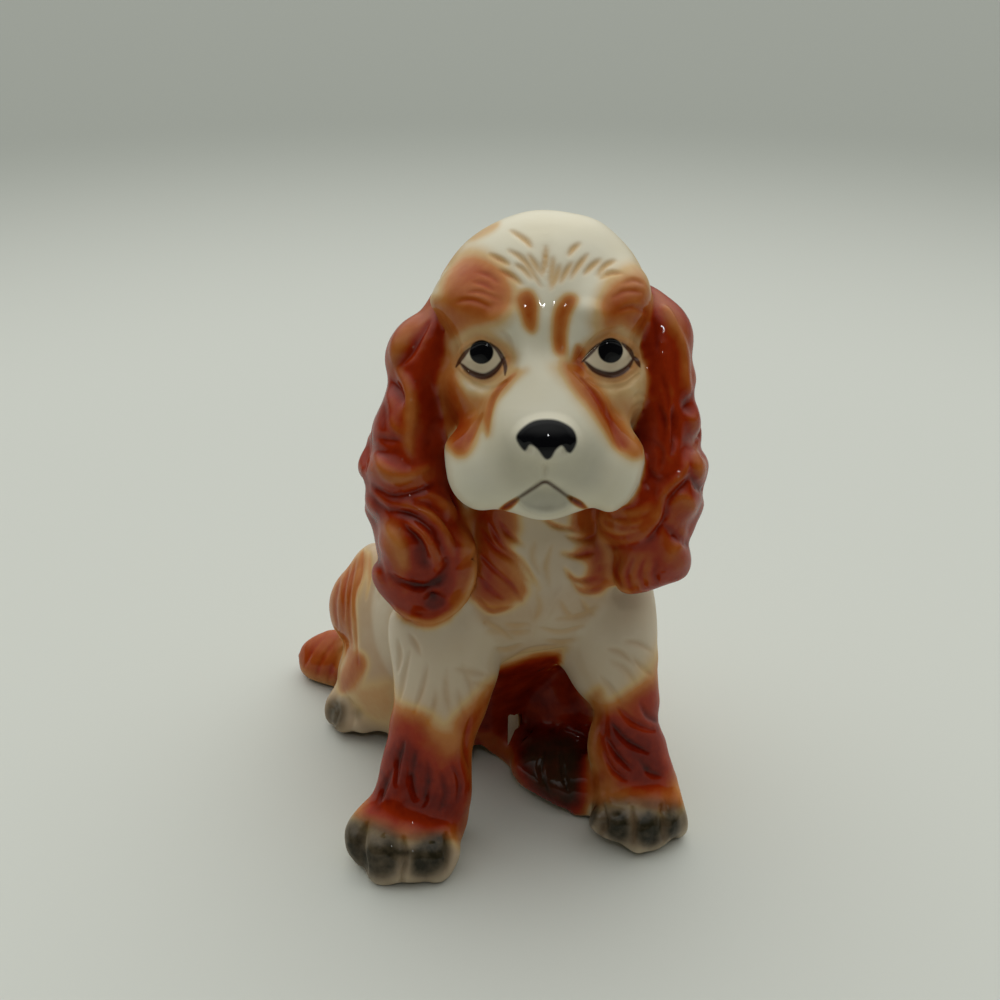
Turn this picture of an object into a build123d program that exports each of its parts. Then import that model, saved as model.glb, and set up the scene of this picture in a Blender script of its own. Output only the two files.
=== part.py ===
from build123d import *

import math
import os

# A seated spaniel pup: a slip-cast, luted and glazed earthenware mantel figure.
# Frame: the origin is the centre of the torso's flat underside, +Z is up, the face looks along -Y
# and +X is the pup's left. The body is turned about Z, so the rump lies behind, to the pup's right.
# Lengths are millimetres and angles degrees. Names that end in SHARES hold shares of the sizes they follow.

# Casting
WALL = 4.5  # slip left on the plaster by the hollow castings
FLOOR_WALL = 5.0  # clay floor that closes the torso
VENT_DIAMETER = 9.0  # lets the air out in the kiln
VENT_SETBACK = 15.0  # vent centre from the origin, towards the rump
CUT_OVERRUN = 3.0  # how far a cutting tool runs past what it cuts

# Torso
BODY_YAW = 29.0  # the body's turn away from the face
TORSO_LENGTH = 70.0  # rump to breast at the widest level
TORSO_WIDTH = 56.0  # flank to flank at the widest level
TORSO_HEIGHT = 97.0  # underside to the neck's flat top
NECK_REACH = 42.0  # how far the neck stands in front of the origin, along the body

# Head, measured over its own forms
HEAD_WIDTH = 44.0
HEAD_DEPTH = 62.0
HEAD_HEIGHT = 58.0

# Ears
EAR_DEPTH = 33.0  # front edge to back edge
EAR_THICKNESS = 17.0  # halfway down
RIGHT_EAR_LENGTH = 71.0
LEFT_EAR_LENGTH = 65.0
RIGHT_EAR_SPLAY = 6.0  # how far each ear hangs away from upright
LEFT_EAR_SPLAY = 1.5

# Forelegs
FORELEG_WIDTH = 23.0
FORELEG_DEPTH = 24.0
SHOULDER_HEIGHT = 66.0
RIGHT_FOOT_SIDE = -10.0  # foot centre across the face, from the origin
RIGHT_FOOT_FRONT = 57.0  # foot centre towards the face, from the origin
RIGHT_SHOULDER_SIDE = 3.0
RIGHT_SHOULDER_FRONT = 38.0
LEFT_FOOT_SIDE = 42.0
LEFT_FOOT_FRONT = 47.0
LEFT_SHOULDER_SIDE = 34.0
LEFT_SHOULDER_FRONT = 32.0

# Paws
FOREPAW_WIDTH = 26.5
FOREPAW_LENGTH = 30.0
FOREPAW_HEIGHT = 17.0
HINDPAW_WIDTH = 22.0
HINDPAW_LENGTH = 30.0
HINDPAW_HEIGHT = 15.0

# Hind legs
HAUNCH_LENGTH = 52.0
HAUNCH_WIDTH = 30.0
HAUNCH_HEIGHT = 56.0
RIGHT_HAUNCH_SIDE = -17.5
RIGHT_HAUNCH_FRONT = 5.0
RIGHT_HINDPAW_SIDE = -22.0
RIGHT_HINDPAW_FRONT = 2.0
LEFT_HAUNCH_SIDE = 27.0
LEFT_HAUNCH_FRONT = 10.0
LEFT_HINDPAW_SIDE = 26.0
LEFT_HINDPAW_FRONT = 33.0

# Tail
TAIL_LENGTH = 38.0
TAIL_THICKNESS = 18.0
TAIL_YAW = 40.0  # the tail's turn towards the pup's right, away from straight behind
TAIL_ROOT_SIDE = -11.5
TAIL_ROOT_FRONT = -8.0

# Rings of the torso, from the underside up: height, lean, length and width
TORSO_RING_SHARES = (
    (0.00, 0.00, 0.70, 0.88),
    (0.10, -0.01, 0.76, 0.97),
    (0.22, 0.05, 0.82, 1.00),
    (0.36, 0.21, 0.92, 1.00),
    (0.50, 0.46, 0.94, 0.97),
    (0.66, 0.71, 0.83, 0.93),
    (0.80, 0.87, 0.64, 0.83),
    (0.92, 0.97, 0.55, 0.72),
    (1.00, 1.00, 0.52, 0.67),
)

# Forms of the head, from the neck's top centre: centre, then half sizes, across, back and up
CRANIUM_SHARES = ((0.000, 0.040, 0.395), (0.500, 0.410, 0.455))
FACE_SHARES = ((0.000, -0.085, 0.245), (0.490, 0.305, 0.315))
CHIN_SHARES = ((0.000, -0.360, -0.050), (0.200, 0.150, 0.100))
NOSE_SHARES = ((0.000, -0.556, 0.205), (0.155, 0.050, 0.078))
PAIRED_HEAD_FORM_SHARES = {
    "brow": ((0.215, -0.105, 0.555), (0.270, 0.245, 0.150)),
    "cheek": ((0.275, -0.150, 0.280), (0.210, 0.200, 0.160)),
    "flew": ((0.205, -0.370, 0.060), (0.258, 0.180, 0.178)),
    "eyeball": ((0.285, -0.258, 0.430), (0.115, 0.082, 0.090)),
}

# Sections of the muzzle, from the forehead to the nose: reach forward, height, width and depth of the section
MUZZLE_RING_SHARES = (
    (0.100, 0.420, 0.56, 0.78),
    (0.250, 0.330, 0.54, 0.64),
    (0.380, 0.240, 0.58, 0.46),
    (0.480, 0.190, 0.57, 0.36),
    (0.540, 0.185, 0.44, 0.26),
    (0.575, 0.190, 0.28, 0.15),
)

# Rings of an ear, from its root down: fall, outset, forward reach, thickness and depth
EAR_ROOT_HEIGHT_SHARE = 0.560  # of the head's height
EAR_RING_SHARES = (
    (0.000, -0.45, -0.05, 0.50, 0.40),
    (0.110, 0.08, -0.02, 0.78, 0.74),
    (0.280, 0.22, 0.05, 0.94, 0.92),
    (0.460, 0.20, 0.14, 1.02, 1.00),
    (0.630, 0.08, 0.24, 1.14, 0.96),
    (0.790, -0.04, 0.32, 1.20, 0.84),
    (0.920, -0.12, 0.36, 1.04, 0.62),
    (1.000, -0.12, 0.37, 0.44, 0.28),
)

# Curls of an ear: fall, outset, forward reach, then half sizes as shares of thickness, depth and length
EAR_CURL_SHARES = (
    (0.300, 0.40, 0.10, 0.34, 0.34, 0.110),
    (0.520, 0.48, 0.06, 0.40, 0.34, 0.105),
    (0.660, -0.20, 0.52, 0.44, 0.24, 0.130),
    (0.740, 0.34, 0.20, 0.42, 0.34, 0.100),
    (0.880, 0.00, 0.42, 0.46, 0.26, 0.085),
)

# Rings of a foreleg, from the ground up: height, way from foot to shoulder, width and depth
FORELEG_RING_SHARES = (
    (0.00, 0.00, 0.86, 0.80),
    (0.16, 0.06, 0.90, 0.84),
    (0.36, 0.28, 0.93, 0.92),
    (0.58, 0.55, 1.00, 1.06),
    (0.80, 0.82, 1.06, 1.20),
    (1.00, 1.00, 0.90, 1.00),
)

# Toes of a paw, across it: place across, reach forward, half width, half length and half height
TOE_SHARES = (
    (-0.36, 0.20, 0.150, 0.22, 0.40),
    (-0.13, 0.31, 0.160, 0.22, 0.44),
    (0.13, 0.31, 0.160, 0.22, 0.44),
    (0.36, 0.20, 0.150, 0.22, 0.40),
)
TOE_LIFT_SHARE = 0.80  # a toe's centre above the ground, of its half height
PAW_PAD_SHARES = ((0.0, 0.02, 0.36), (0.47, 0.44, 0.62))

HAUNCH_LIFT_SHARE = 0.42  # the haunch's centre above the ground, of its height

# Rings of the tail, from its root out: way along, thickness
TAIL_RING_SHARES = ((0.00, 0.80), (0.30, 1.00), (0.65, 0.92), (0.90, 0.55), (1.00, 0.18))
TAIL_LIFT_SHARE = 0.36  # the tail's centre line above the ground, of its thickness

PAW_YAW_RIGHT_FORE = -14.0
PAW_YAW_LEFT_FORE = 16.0
PAW_YAW_RIGHT_HIND = -24.0
PAW_YAW_LEFT_HIND = 34.0


def along_body(reach):
    """The point on the ground that lies that far in front of the origin, along the body."""
    turn = math.radians(BODY_YAW)
    return Vector(reach * math.sin(turn), -reach * math.cos(turn), 0)


def form(centre, half_sizes, yaw=0):
    """An egg-shaped lump of clay with the given half sizes."""
    return Pos(*centre) * Rot(0, 0, yaw) * scale(Sphere(1), by=tuple(half_sizes))


def ring(centre, width, depth, yaw=0):
    """A level elliptical section."""
    return Pos(*centre) * Rot(0, 0, yaw) * Ellipse(width / 2, depth / 2)


def neck_top():
    """The centre of the neck's flat top, which carries the head."""
    return along_body(NECK_REACH) + Vector(0, 0, TORSO_HEIGHT)


def torso_form(inset=0, floor=0):
    """The torso's skin as a solid, drawn in by inset and cut off level at floor."""
    rings = []
    for height, lean, length, width in TORSO_RING_SHARES:
        level = floor + height * (TORSO_HEIGHT - floor)
        centre = along_body(lean * NECK_REACH) + Vector(0, 0, level)
        across = width * TORSO_WIDTH - 2 * inset
        along = length * TORSO_LENGTH - 2 * inset
        rings.append(ring(centre, across, along, BODY_YAW))
    return loft(rings)


def torso():
    """The hollow body casting, closed below but for its vent and open at the neck."""
    vent_centre = along_body(-VENT_SETBACK)
    vent = Pos(*vent_centre) * Cylinder(VENT_DIAMETER / 2, 2 * (FLOOR_WALL + CUT_OVERRUN))
    return torso_form() - torso_form(WALL, FLOOR_WALL) - vent


def head_point(shares, side=1):
    """A place on the head from its shares, on the pup's left for side 1 and right for side -1."""
    across, back, up = shares
    return neck_top() + Vector(side * across * HEAD_WIDTH, back * HEAD_DEPTH, up * HEAD_HEIGHT)


def head_part(shares, side=1, inset=0):
    """One form of the head."""
    centre, (across, back, up) = shares
    half_sizes = (across * HEAD_WIDTH - inset, back * HEAD_DEPTH - inset, up * HEAD_HEIGHT - inset)
    return form(head_point(centre, side), half_sizes)


def muzzle_form():
    """The muzzle, drawn forward from the forehead to the nose."""
    rings = []
    for reach, up, width, depth in MUZZLE_RING_SHARES:
        section = Plane(origin=head_point((0, -reach, up)), x_dir=(1, 0, 0), z_dir=(0, -1, 0))
        rings.append(section * Ellipse(width * HEAD_WIDTH / 2, depth * HEAD_HEIGHT / 2))
    return loft(rings)


def head_form():
    """The head's skin as a solid: skull, face, muzzle, nose and chin, with its paired forms."""
    lumps = [muzzle_form()]
    for shares in (FACE_SHARES, CHIN_SHARES, NOSE_SHARES):
        lumps.append(head_part(shares))
    for shares in PAIRED_HEAD_FORM_SHARES.values():
        lumps += [head_part(shares, side) for side in (-1, 1)]
    return head_part(CRANIUM_SHARES) + lumps


def neck_bore():
    """The way from the torso's hollow up into the head's."""
    height, lean, length, width = TORSO_RING_SHARES[-1]
    rim = ring(neck_top(), width * TORSO_WIDTH - 2 * WALL, length * TORSO_LENGTH - 2 * WALL, BODY_YAW)
    return extrude(rim, CRANIUM_SHARES[0][2] * HEAD_HEIGHT)


def head(outside, body):
    """The hollow head casting, socketed over the neck and open to the torso's hollow."""
    return outside - [body, head_part(CRANIUM_SHARES, inset=WALL), neck_bore()]


def ear_form(side, length, splay):
    """One hanging ear with its curls, as a solid that runs into the head."""
    root = head_point((0, 0, EAR_ROOT_HEIGHT_SHARE)) + Vector(side * HEAD_WIDTH / 2, 0, 0)

    def place(fall, outset, forward):
        across = outset * EAR_THICKNESS + fall * length * math.tan(math.radians(splay))
        return root + Vector(side * across, -forward * EAR_DEPTH, -fall * length)

    rings = []
    for fall, outset, forward, thickness, depth in EAR_RING_SHARES:
        rings.append(ring(place(fall, outset, forward), thickness * EAR_THICKNESS, depth * EAR_DEPTH))
    curls = []
    for fall, outset, forward, half_thick, half_deep, half_tall in EAR_CURL_SHARES:
        half_sizes = (half_thick * EAR_THICKNESS, half_deep * EAR_DEPTH, half_tall * length)
        curls.append(form(place(fall, outset, forward), half_sizes))
    return loft(rings[::-1]) + curls


def paw_form(side, front, width, length, height, yaw):
    """A paw with four toes, cut flat where it stands."""
    place = Pos(side, -front, 0) * Rot(0, 0, yaw)
    (across, forward, up), (half_wide, half_long, half_tall) = PAW_PAD_SHARES
    pad_centre = (across * width, -forward * length, up * height)
    pad = form(pad_centre, (half_wide * width, half_long * length, half_tall * height))
    toes = []
    for across, forward, half_wide, half_long, half_tall in TOE_SHARES:
        half_sizes = (half_wide * width, half_long * length, half_tall * height)
        toes.append(form((across * width, -forward * length, TOE_LIFT_SHARE * half_sizes[2]), half_sizes))
    return split(place * (pad + toes), Plane.XY, keep=Keep.TOP)


def foreleg_form(foot_side, foot_front, shoulder_side, shoulder_front, paw_yaw):
    """A foreleg that runs from its paw up into the shoulder."""
    foot = Vector(foot_side, -foot_front, 0)
    shoulder = Vector(shoulder_side, -shoulder_front, 0)
    rings = []
    for height, way, width, depth in FORELEG_RING_SHARES:
        centre = foot + (shoulder - foot) * way + Vector(0, 0, height * SHOULDER_HEIGHT)
        rings.append(ring(centre, width * FORELEG_WIDTH, depth * FORELEG_DEPTH, paw_yaw))
    return loft(rings) + paw_form(foot_side, foot_front, FOREPAW_WIDTH, FOREPAW_LENGTH, FOREPAW_HEIGHT, paw_yaw)


def hind_leg_form(haunch_side, haunch_front, paw_side, paw_front, paw_yaw):
    """A haunch with its hind paw, cut flat where it sits."""
    centre = (haunch_side, -haunch_front, HAUNCH_LIFT_SHARE * HAUNCH_HEIGHT)
    haunch = form(centre, (HAUNCH_WIDTH / 2, HAUNCH_LENGTH / 2, HAUNCH_HEIGHT / 2), BODY_YAW)
    haunch = split(haunch, Plane.XY, keep=Keep.TOP)
    return haunch + paw_form(paw_side, paw_front, HINDPAW_WIDTH, HINDPAW_LENGTH, HINDPAW_HEIGHT, paw_yaw)


def tail_form():
    """The short tail, lying on the ground beside the rump."""
    root = Vector(TAIL_ROOT_SIDE, -TAIL_ROOT_FRONT, TAIL_LIFT_SHARE * TAIL_THICKNESS)
    turn = math.radians(BODY_YAW + TAIL_YAW)
    way = Vector(-math.sin(turn), math.cos(turn), 0)
    rings = []
    for along, thickness in TAIL_RING_SHARES:
        section = Plane(origin=root + way * (along * TAIL_LENGTH), z_dir=way)
        rings.append(section * Circle(thickness * TAIL_THICKNESS / 2))
    return split(loft(rings), Plane.XY, keep=Keep.TOP)


def figure():
    """Every casting by name, each trimmed by those that were set before it."""
    body = torso_form()
    skull = head_form()
    right_fore = foreleg_form(RIGHT_FOOT_SIDE, RIGHT_FOOT_FRONT, RIGHT_SHOULDER_SIDE, RIGHT_SHOULDER_FRONT,
                              PAW_YAW_RIGHT_FORE)
    left_fore = foreleg_form(LEFT_FOOT_SIDE, LEFT_FOOT_FRONT, LEFT_SHOULDER_SIDE, LEFT_SHOULDER_FRONT,
                             PAW_YAW_LEFT_FORE)
    right_hind = hind_leg_form(RIGHT_HAUNCH_SIDE, RIGHT_HAUNCH_FRONT, RIGHT_HINDPAW_SIDE, RIGHT_HINDPAW_FRONT,
                               PAW_YAW_RIGHT_HIND)
    left_hind = hind_leg_form(LEFT_HAUNCH_SIDE, LEFT_HAUNCH_FRONT, LEFT_HINDPAW_SIDE, LEFT_HINDPAW_FRONT,
                              PAW_YAW_LEFT_HIND)
    return {
        "torso": torso(),
        "head": head(skull, body),
        "right_foreleg": right_fore - [body, skull],
        "left_foreleg": left_fore - [body, skull],
        "right_hind_leg": right_hind - [body, right_fore],
        "left_hind_leg": left_hind - [body, left_fore, right_fore],
        "right_ear": ear_form(-1, RIGHT_EAR_LENGTH, RIGHT_EAR_SPLAY) - [skull, body, right_fore],
        "left_ear": ear_form(1, LEFT_EAR_LENGTH, LEFT_EAR_SPLAY) - [skull, body, left_fore],
        "tail": tail_form() - [body, right_hind],
    }


os.makedirs("parts", exist_ok=True)
for name, solid in figure().items():
    export_step(solid, f"parts/{name}.step")
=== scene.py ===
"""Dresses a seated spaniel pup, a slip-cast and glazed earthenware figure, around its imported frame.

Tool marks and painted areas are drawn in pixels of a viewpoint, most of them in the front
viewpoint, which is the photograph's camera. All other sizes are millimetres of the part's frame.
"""

import logging
import math
from dataclasses import dataclass, field
from enum import Enum

import bmesh
import bpy
import numpy as np
from mathutils import Matrix, Vector
from mathutils.bvhtree import BVHTree
from mathutils.kdtree import KDTree


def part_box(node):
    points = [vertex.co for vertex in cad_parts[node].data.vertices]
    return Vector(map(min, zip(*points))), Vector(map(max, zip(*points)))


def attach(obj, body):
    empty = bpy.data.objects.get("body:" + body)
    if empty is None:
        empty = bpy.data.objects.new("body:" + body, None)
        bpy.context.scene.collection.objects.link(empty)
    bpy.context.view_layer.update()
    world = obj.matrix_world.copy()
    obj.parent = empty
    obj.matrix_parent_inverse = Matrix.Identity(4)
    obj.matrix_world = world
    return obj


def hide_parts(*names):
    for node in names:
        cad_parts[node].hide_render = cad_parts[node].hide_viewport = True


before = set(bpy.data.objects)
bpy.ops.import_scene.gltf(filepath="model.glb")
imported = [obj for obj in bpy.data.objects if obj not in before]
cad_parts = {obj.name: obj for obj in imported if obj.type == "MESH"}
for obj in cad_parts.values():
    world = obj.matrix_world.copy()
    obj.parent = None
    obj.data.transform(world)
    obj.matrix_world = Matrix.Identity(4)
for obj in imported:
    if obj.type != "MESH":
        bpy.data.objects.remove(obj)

LOG = logging.getLogger("spaniel_pup")
MM = 0.001
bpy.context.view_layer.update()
Line = tuple[tuple[float, float], ...]
Colour = tuple[float, float, float]


class Casting(Enum):
    """The castings that are luted into the figure, by the name of their node."""

    TORSO = "torso"
    HEAD = "head"
    RIGHT_EAR = "right_ear"
    LEFT_EAR = "left_ear"
    RIGHT_FORELEG = "right_foreleg"
    LEFT_FORELEG = "left_foreleg"
    RIGHT_HIND_LEG = "right_hind_leg"
    LEFT_HIND_LEG = "left_hind_leg"
    TAIL = "tail"


ORDER = list(Casting)


class Coat(Enum):
    """The painted coats under the glaze, by the name of their attribute."""

    RUST = "rust"
    WASH = "wash"
    # Dark smudges on the toes, and painted shade on the lower muzzle, the chin and the hind paw in the
    # recess.
    SMOKE = "smoke_and_shade"
    INK = "ink"
    LID = "lid"


def smooth_step(value: np.ndarray) -> np.ndarray:
    """Eases a share from 0 to 1, clipped at both ends."""
    share = np.clip(value, 0.0, 1.0)
    return share * share * (3.0 - 2.0 * share)


def curve_through(line: Line, steps: int = 6, closed: bool = False) -> np.ndarray:
    """Draws a smooth curve through given points.

    Args:
        line: the points, in the order that the tool passes them.
        steps: stretches between one point and the next.
        closed: whether the curve runs back to its start.

    Returns:
        The points of the curve, one row each.
    """
    points = np.asarray(line, float)
    if closed:
        ends = np.vstack([points[-1], points, points[:2]])
    else:
        ends = np.vstack([2 * points[0] - points[1], points, 2 * points[-1] - points[-2]])
    share = np.linspace(0.0, 1.0, steps, endpoint=False)[:, None]
    runs = []
    for before, start, end, after in zip(ends, ends[1:], ends[2:], ends[3:]):
        runs.append(0.5 * (2 * start + (end - before) * share
                           + (2 * before - 5 * start + 4 * end - after) * share ** 2
                           + (3 * start - before - 3 * end + after) * share ** 3))
    return np.vstack(runs + [points[:1] if closed else points[-1:]])


def gap_to(pixels: np.ndarray, curve: np.ndarray) -> tuple[np.ndarray, np.ndarray]:
    """Measures pixels against a curve.

    Args:
        pixels: places, one row each.
        curve: points of the curve.

    Returns:
        The distance of each place from the curve, and how far along the curve it lies, from 0 to 1.
    """
    start, run = curve[:-1], np.diff(curve, axis=0)
    length = np.maximum(np.einsum("ij,ij->i", run, run), 1e-9)
    away = pixels[:, None] - start[None]
    along = np.clip(np.einsum("ijk,jk->ij", away, run) / length, 0.0, 1.0)
    gap = np.linalg.norm(away - along[..., None] * run[None], axis=2)
    best = gap.argmin(1)
    rows = np.arange(len(pixels))
    return gap[rows, best], (best + along[rows, best]) / len(run)


@dataclass(frozen=True)
class Viewpoint:
    """A place from which lines are drawn on the clay, with a square frame of pixels.

    Attributes:
        eye: where the eye is.
        yaw: turn of the line of sight about +Z, from +Y, in degrees.
        pitch: how far it looks down, in degrees.
        opening: angle across the frame, in degrees.
        frame_px: edge of the frame, in pixels.
    """

    eye: tuple[float, float, float]
    yaw: float
    pitch: float
    opening: float
    frame_px: float = 1000.0

    @property
    def focal_px(self) -> float:
        """Focal length in pixels."""
        return 0.5 * self.frame_px / math.tan(math.radians(self.opening) / 2)

    def axes(self) -> tuple[np.ndarray, np.ndarray, np.ndarray]:
        """Returns the unit vectors to the right, up and forward."""
        turn, tilt = math.radians(self.yaw), math.radians(self.pitch)
        right = np.array([math.cos(turn), math.sin(turn), 0.0])
        level = np.array([-math.sin(turn), math.cos(turn), 0.0])
        forward = level * math.cos(tilt) - np.array([0.0, 0.0, math.sin(tilt)])
        return right, np.cross(right, forward), forward

    def project(self, points: np.ndarray) -> tuple[np.ndarray, np.ndarray]:
        """Finds where points fall in the frame.

        Args:
            points: places, one row each.

        Returns:
            The pixel of each point, and its distance along the line of sight.
        """
        right, up, forward = self.axes()
        away = points - np.asarray(self.eye)
        depth = away @ forward
        scale = self.focal_px / depth
        half = 0.5 * self.frame_px
        return np.column_stack([half + (away @ right) * scale, half - (away @ up) * scale]), depth

    def facing(self, points: np.ndarray, normals: np.ndarray) -> np.ndarray:
        """Returns how squarely the surface faces the eye, from -1 to 1.

        Args:
            points: places on the surface.
            normals: directions out of it.

        Returns:
            One value for each place.
        """
        towards = np.asarray(self.eye) - points
        towards /= np.linalg.norm(towards, axis=1, keepdims=True)
        return np.einsum("ij,ij->i", towards, normals)


FRONT = Viewpoint(eye=(11.3, -313.9, 213.35), yaw=0.0, pitch=25.5, opening=40.0)


@dataclass(frozen=True)
class Mark:
    """Tool marks of one kind.

    Attributes:
        lines: the marks, in pixels.
        half_width: half the width of a mark, in pixels.
        depth: depth of a mark; a raised lock has a negative depth.
        paint: how much of each coat the mark carries; a negative share takes paint away.
    """

    lines: tuple[Line, ...]
    half_width: float
    depth: float = 0.0
    paint: tuple[tuple[Coat, float], ...] = ()


@dataclass(frozen=True)
class Swell:
    """A soft oval of clay that is added, or pressed in where its height is negative.

    Attributes:
        centre: its middle, in pixels.
        radii: its half axes, in pixels.
        height: how far the clay moves.
        turn: turn of the first axis, clockwise in the picture, in degrees.
    """

    centre: tuple[float, float]
    radii: tuple[float, float]
    height: float
    turn: float = 0.0


@dataclass(frozen=True)
class Patch:
    """A painted area inside a closed outline.

    Attributes:
        coat: which coat.
        outline: points of the outline, in pixels.
        feather: half width of the soft edge, in pixels.
        amount: how much the coat covers; a negative amount wipes it off.
        castings: castings that it runs over, where that is not the sub-assembly's own alone.
    """

    coat: Coat
    outline: Line
    feather: float
    amount: float
    castings: tuple[Casting, ...] = ()


@dataclass(frozen=True)
class Cloud:
    """An airbrushed area on a side that the front viewpoint does not see.

    Attributes:
        coat: which coat.
        centre: its middle.
        radii: its half axes.
        amount: how much the coat covers in the middle.
    """

    coat: Coat
    centre: tuple[float, float, float]
    radii: tuple[float, float, float]
    amount: float


@dataclass(frozen=True)
class Comb:
    """Short tool marks on the sides that the front viewpoint does not see.

    Attributes:
        count: number of marks.
        length: length of a mark.
        half_width: half the width of a mark.
        depth: depth of a mark.
        lie: the direction in which the fur lies.
        wave: how far a mark swings to the sides, as a share of its run.
        seed: seed of the scatter.
    """

    count: int
    length: float
    half_width: float
    depth: float
    lie: tuple[float, float, float]
    wave: float
    seed: int


@dataclass
class Skin:
    """The outside of the clay, as arrays in millimetres.

    Attributes:
        points: places of the vertices.
        triangles: corners of the faces.
        edges: ends of the edges.
        normals: directions out of the clay.
        labels: the casting of each vertex, by its place in the order.
        coats: the painted coats.
        valence: number of edges at each vertex.
        masks: softened castings that were asked for before.
    """

    points: np.ndarray
    triangles: np.ndarray
    edges: np.ndarray
    normals: np.ndarray = field(init=False)
    labels: np.ndarray = field(init=False)
    coats: dict[Coat, np.ndarray] = field(init=False)
    valence: np.ndarray = field(init=False)
    masks: dict[tuple, np.ndarray] = field(init=False, default_factory=dict)

    def __post_init__(self) -> None:
        """Prepares the blank coats and the normals."""
        count = len(self.points)
        self.coats = {coat: np.zeros(count) for coat in Coat}
        self.labels = np.zeros(count, int)
        self.valence = np.maximum(np.bincount(self.edges.ravel(), minlength=count), 1).astype(float)
        self.refresh()

    def refresh(self) -> None:
        """Works the normals out again after the clay has moved."""
        corners = self.points[self.triangles]
        flat = np.cross(corners[:, 1] - corners[:, 0], corners[:, 2] - corners[:, 0])
        normals = np.zeros_like(self.points)
        for axis in range(3):
            for corner in range(3):
                normals[:, axis] += np.bincount(self.triangles[:, corner], flat[:, axis], len(self.points))
        self.normals = normals / np.maximum(np.linalg.norm(normals, axis=1, keepdims=True), 1e-12)

    def around(self, values: np.ndarray) -> np.ndarray:
        """Returns the mean of each vertex's neighbours, for one column or several.

        Args:
            values: the field, one row for each vertex.

        Returns:
            The means, in the same shape.
        """
        columns = values.reshape(len(values), -1)
        total = np.empty(columns.shape)
        start, end = self.edges[:, 0], self.edges[:, 1]
        for index in range(columns.shape[1]):
            column = columns[:, index]
            total[:, index] = (np.bincount(start, column[end], len(values))
                               + np.bincount(end, column[start], len(values)))
        return (total / self.valence[:, None]).reshape(values.shape)

    def soften(self, values: np.ndarray, rounds: int) -> np.ndarray:
        """Spreads a field over the surface.

        Args:
            values: the field.
            rounds: passes.

        Returns:
            The softened field.
        """
        for _ in range(rounds):
            values = 0.5 * values + 0.5 * self.around(values)
        return values

    def relax(self, rounds: int, amount: np.ndarray | float = 1.0) -> None:
        """Wipes the clay smooth with a wet brush.

        Args:
            rounds: passes of the brush.
            amount: how much each vertex follows, from 0 to 1.
        """
        share = 0.5 * (amount[:, None] if isinstance(amount, np.ndarray) else amount)
        for _ in range(rounds):
            self.points = self.points + share * (self.around(self.points) - self.points)
        self.refresh()

    def push(self, distance: np.ndarray) -> None:
        """Moves the clay along its own normals."""
        self.points = self.points + self.normals * distance[:, None]
        self.refresh()

    def mask(self, castings: tuple[Casting, ...], rounds: int = 4) -> np.ndarray:
        """Returns which vertices belong to the given castings, softened at the seams.

        Args:
            castings: the castings.
            rounds: passes that soften the seams.

        Returns:
            A share from 0 to 1 for every vertex.
        """
        key = (castings, rounds)
        if key not in self.masks:
            held = np.isin(self.labels, [ORDER.index(casting) for casting in castings])
            self.masks[key] = self.soften(held.astype(float), rounds)
        return self.masks[key]

    def hollows(self, rounds: int) -> np.ndarray:
        """Returns how deep each vertex lies below the wiped surface; ridges are negative."""
        wiped = self.soften(self.points, rounds)
        return np.einsum("ij,ij->i", wiped - self.points, self.normals)

    def lay(self, coat: Coat, cover: np.ndarray) -> None:
        """Lays a coat over what is there; a negative cover wipes it off.

        Args:
            coat: which coat.
            cover: how much each vertex takes.
        """
        under = self.coats[coat]
        over = np.where(cover >= 0.0, under + (1.0 - under) * cover, under * (1.0 + cover))
        self.coats[coat] = np.clip(over, 0.0, 1.0)


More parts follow.
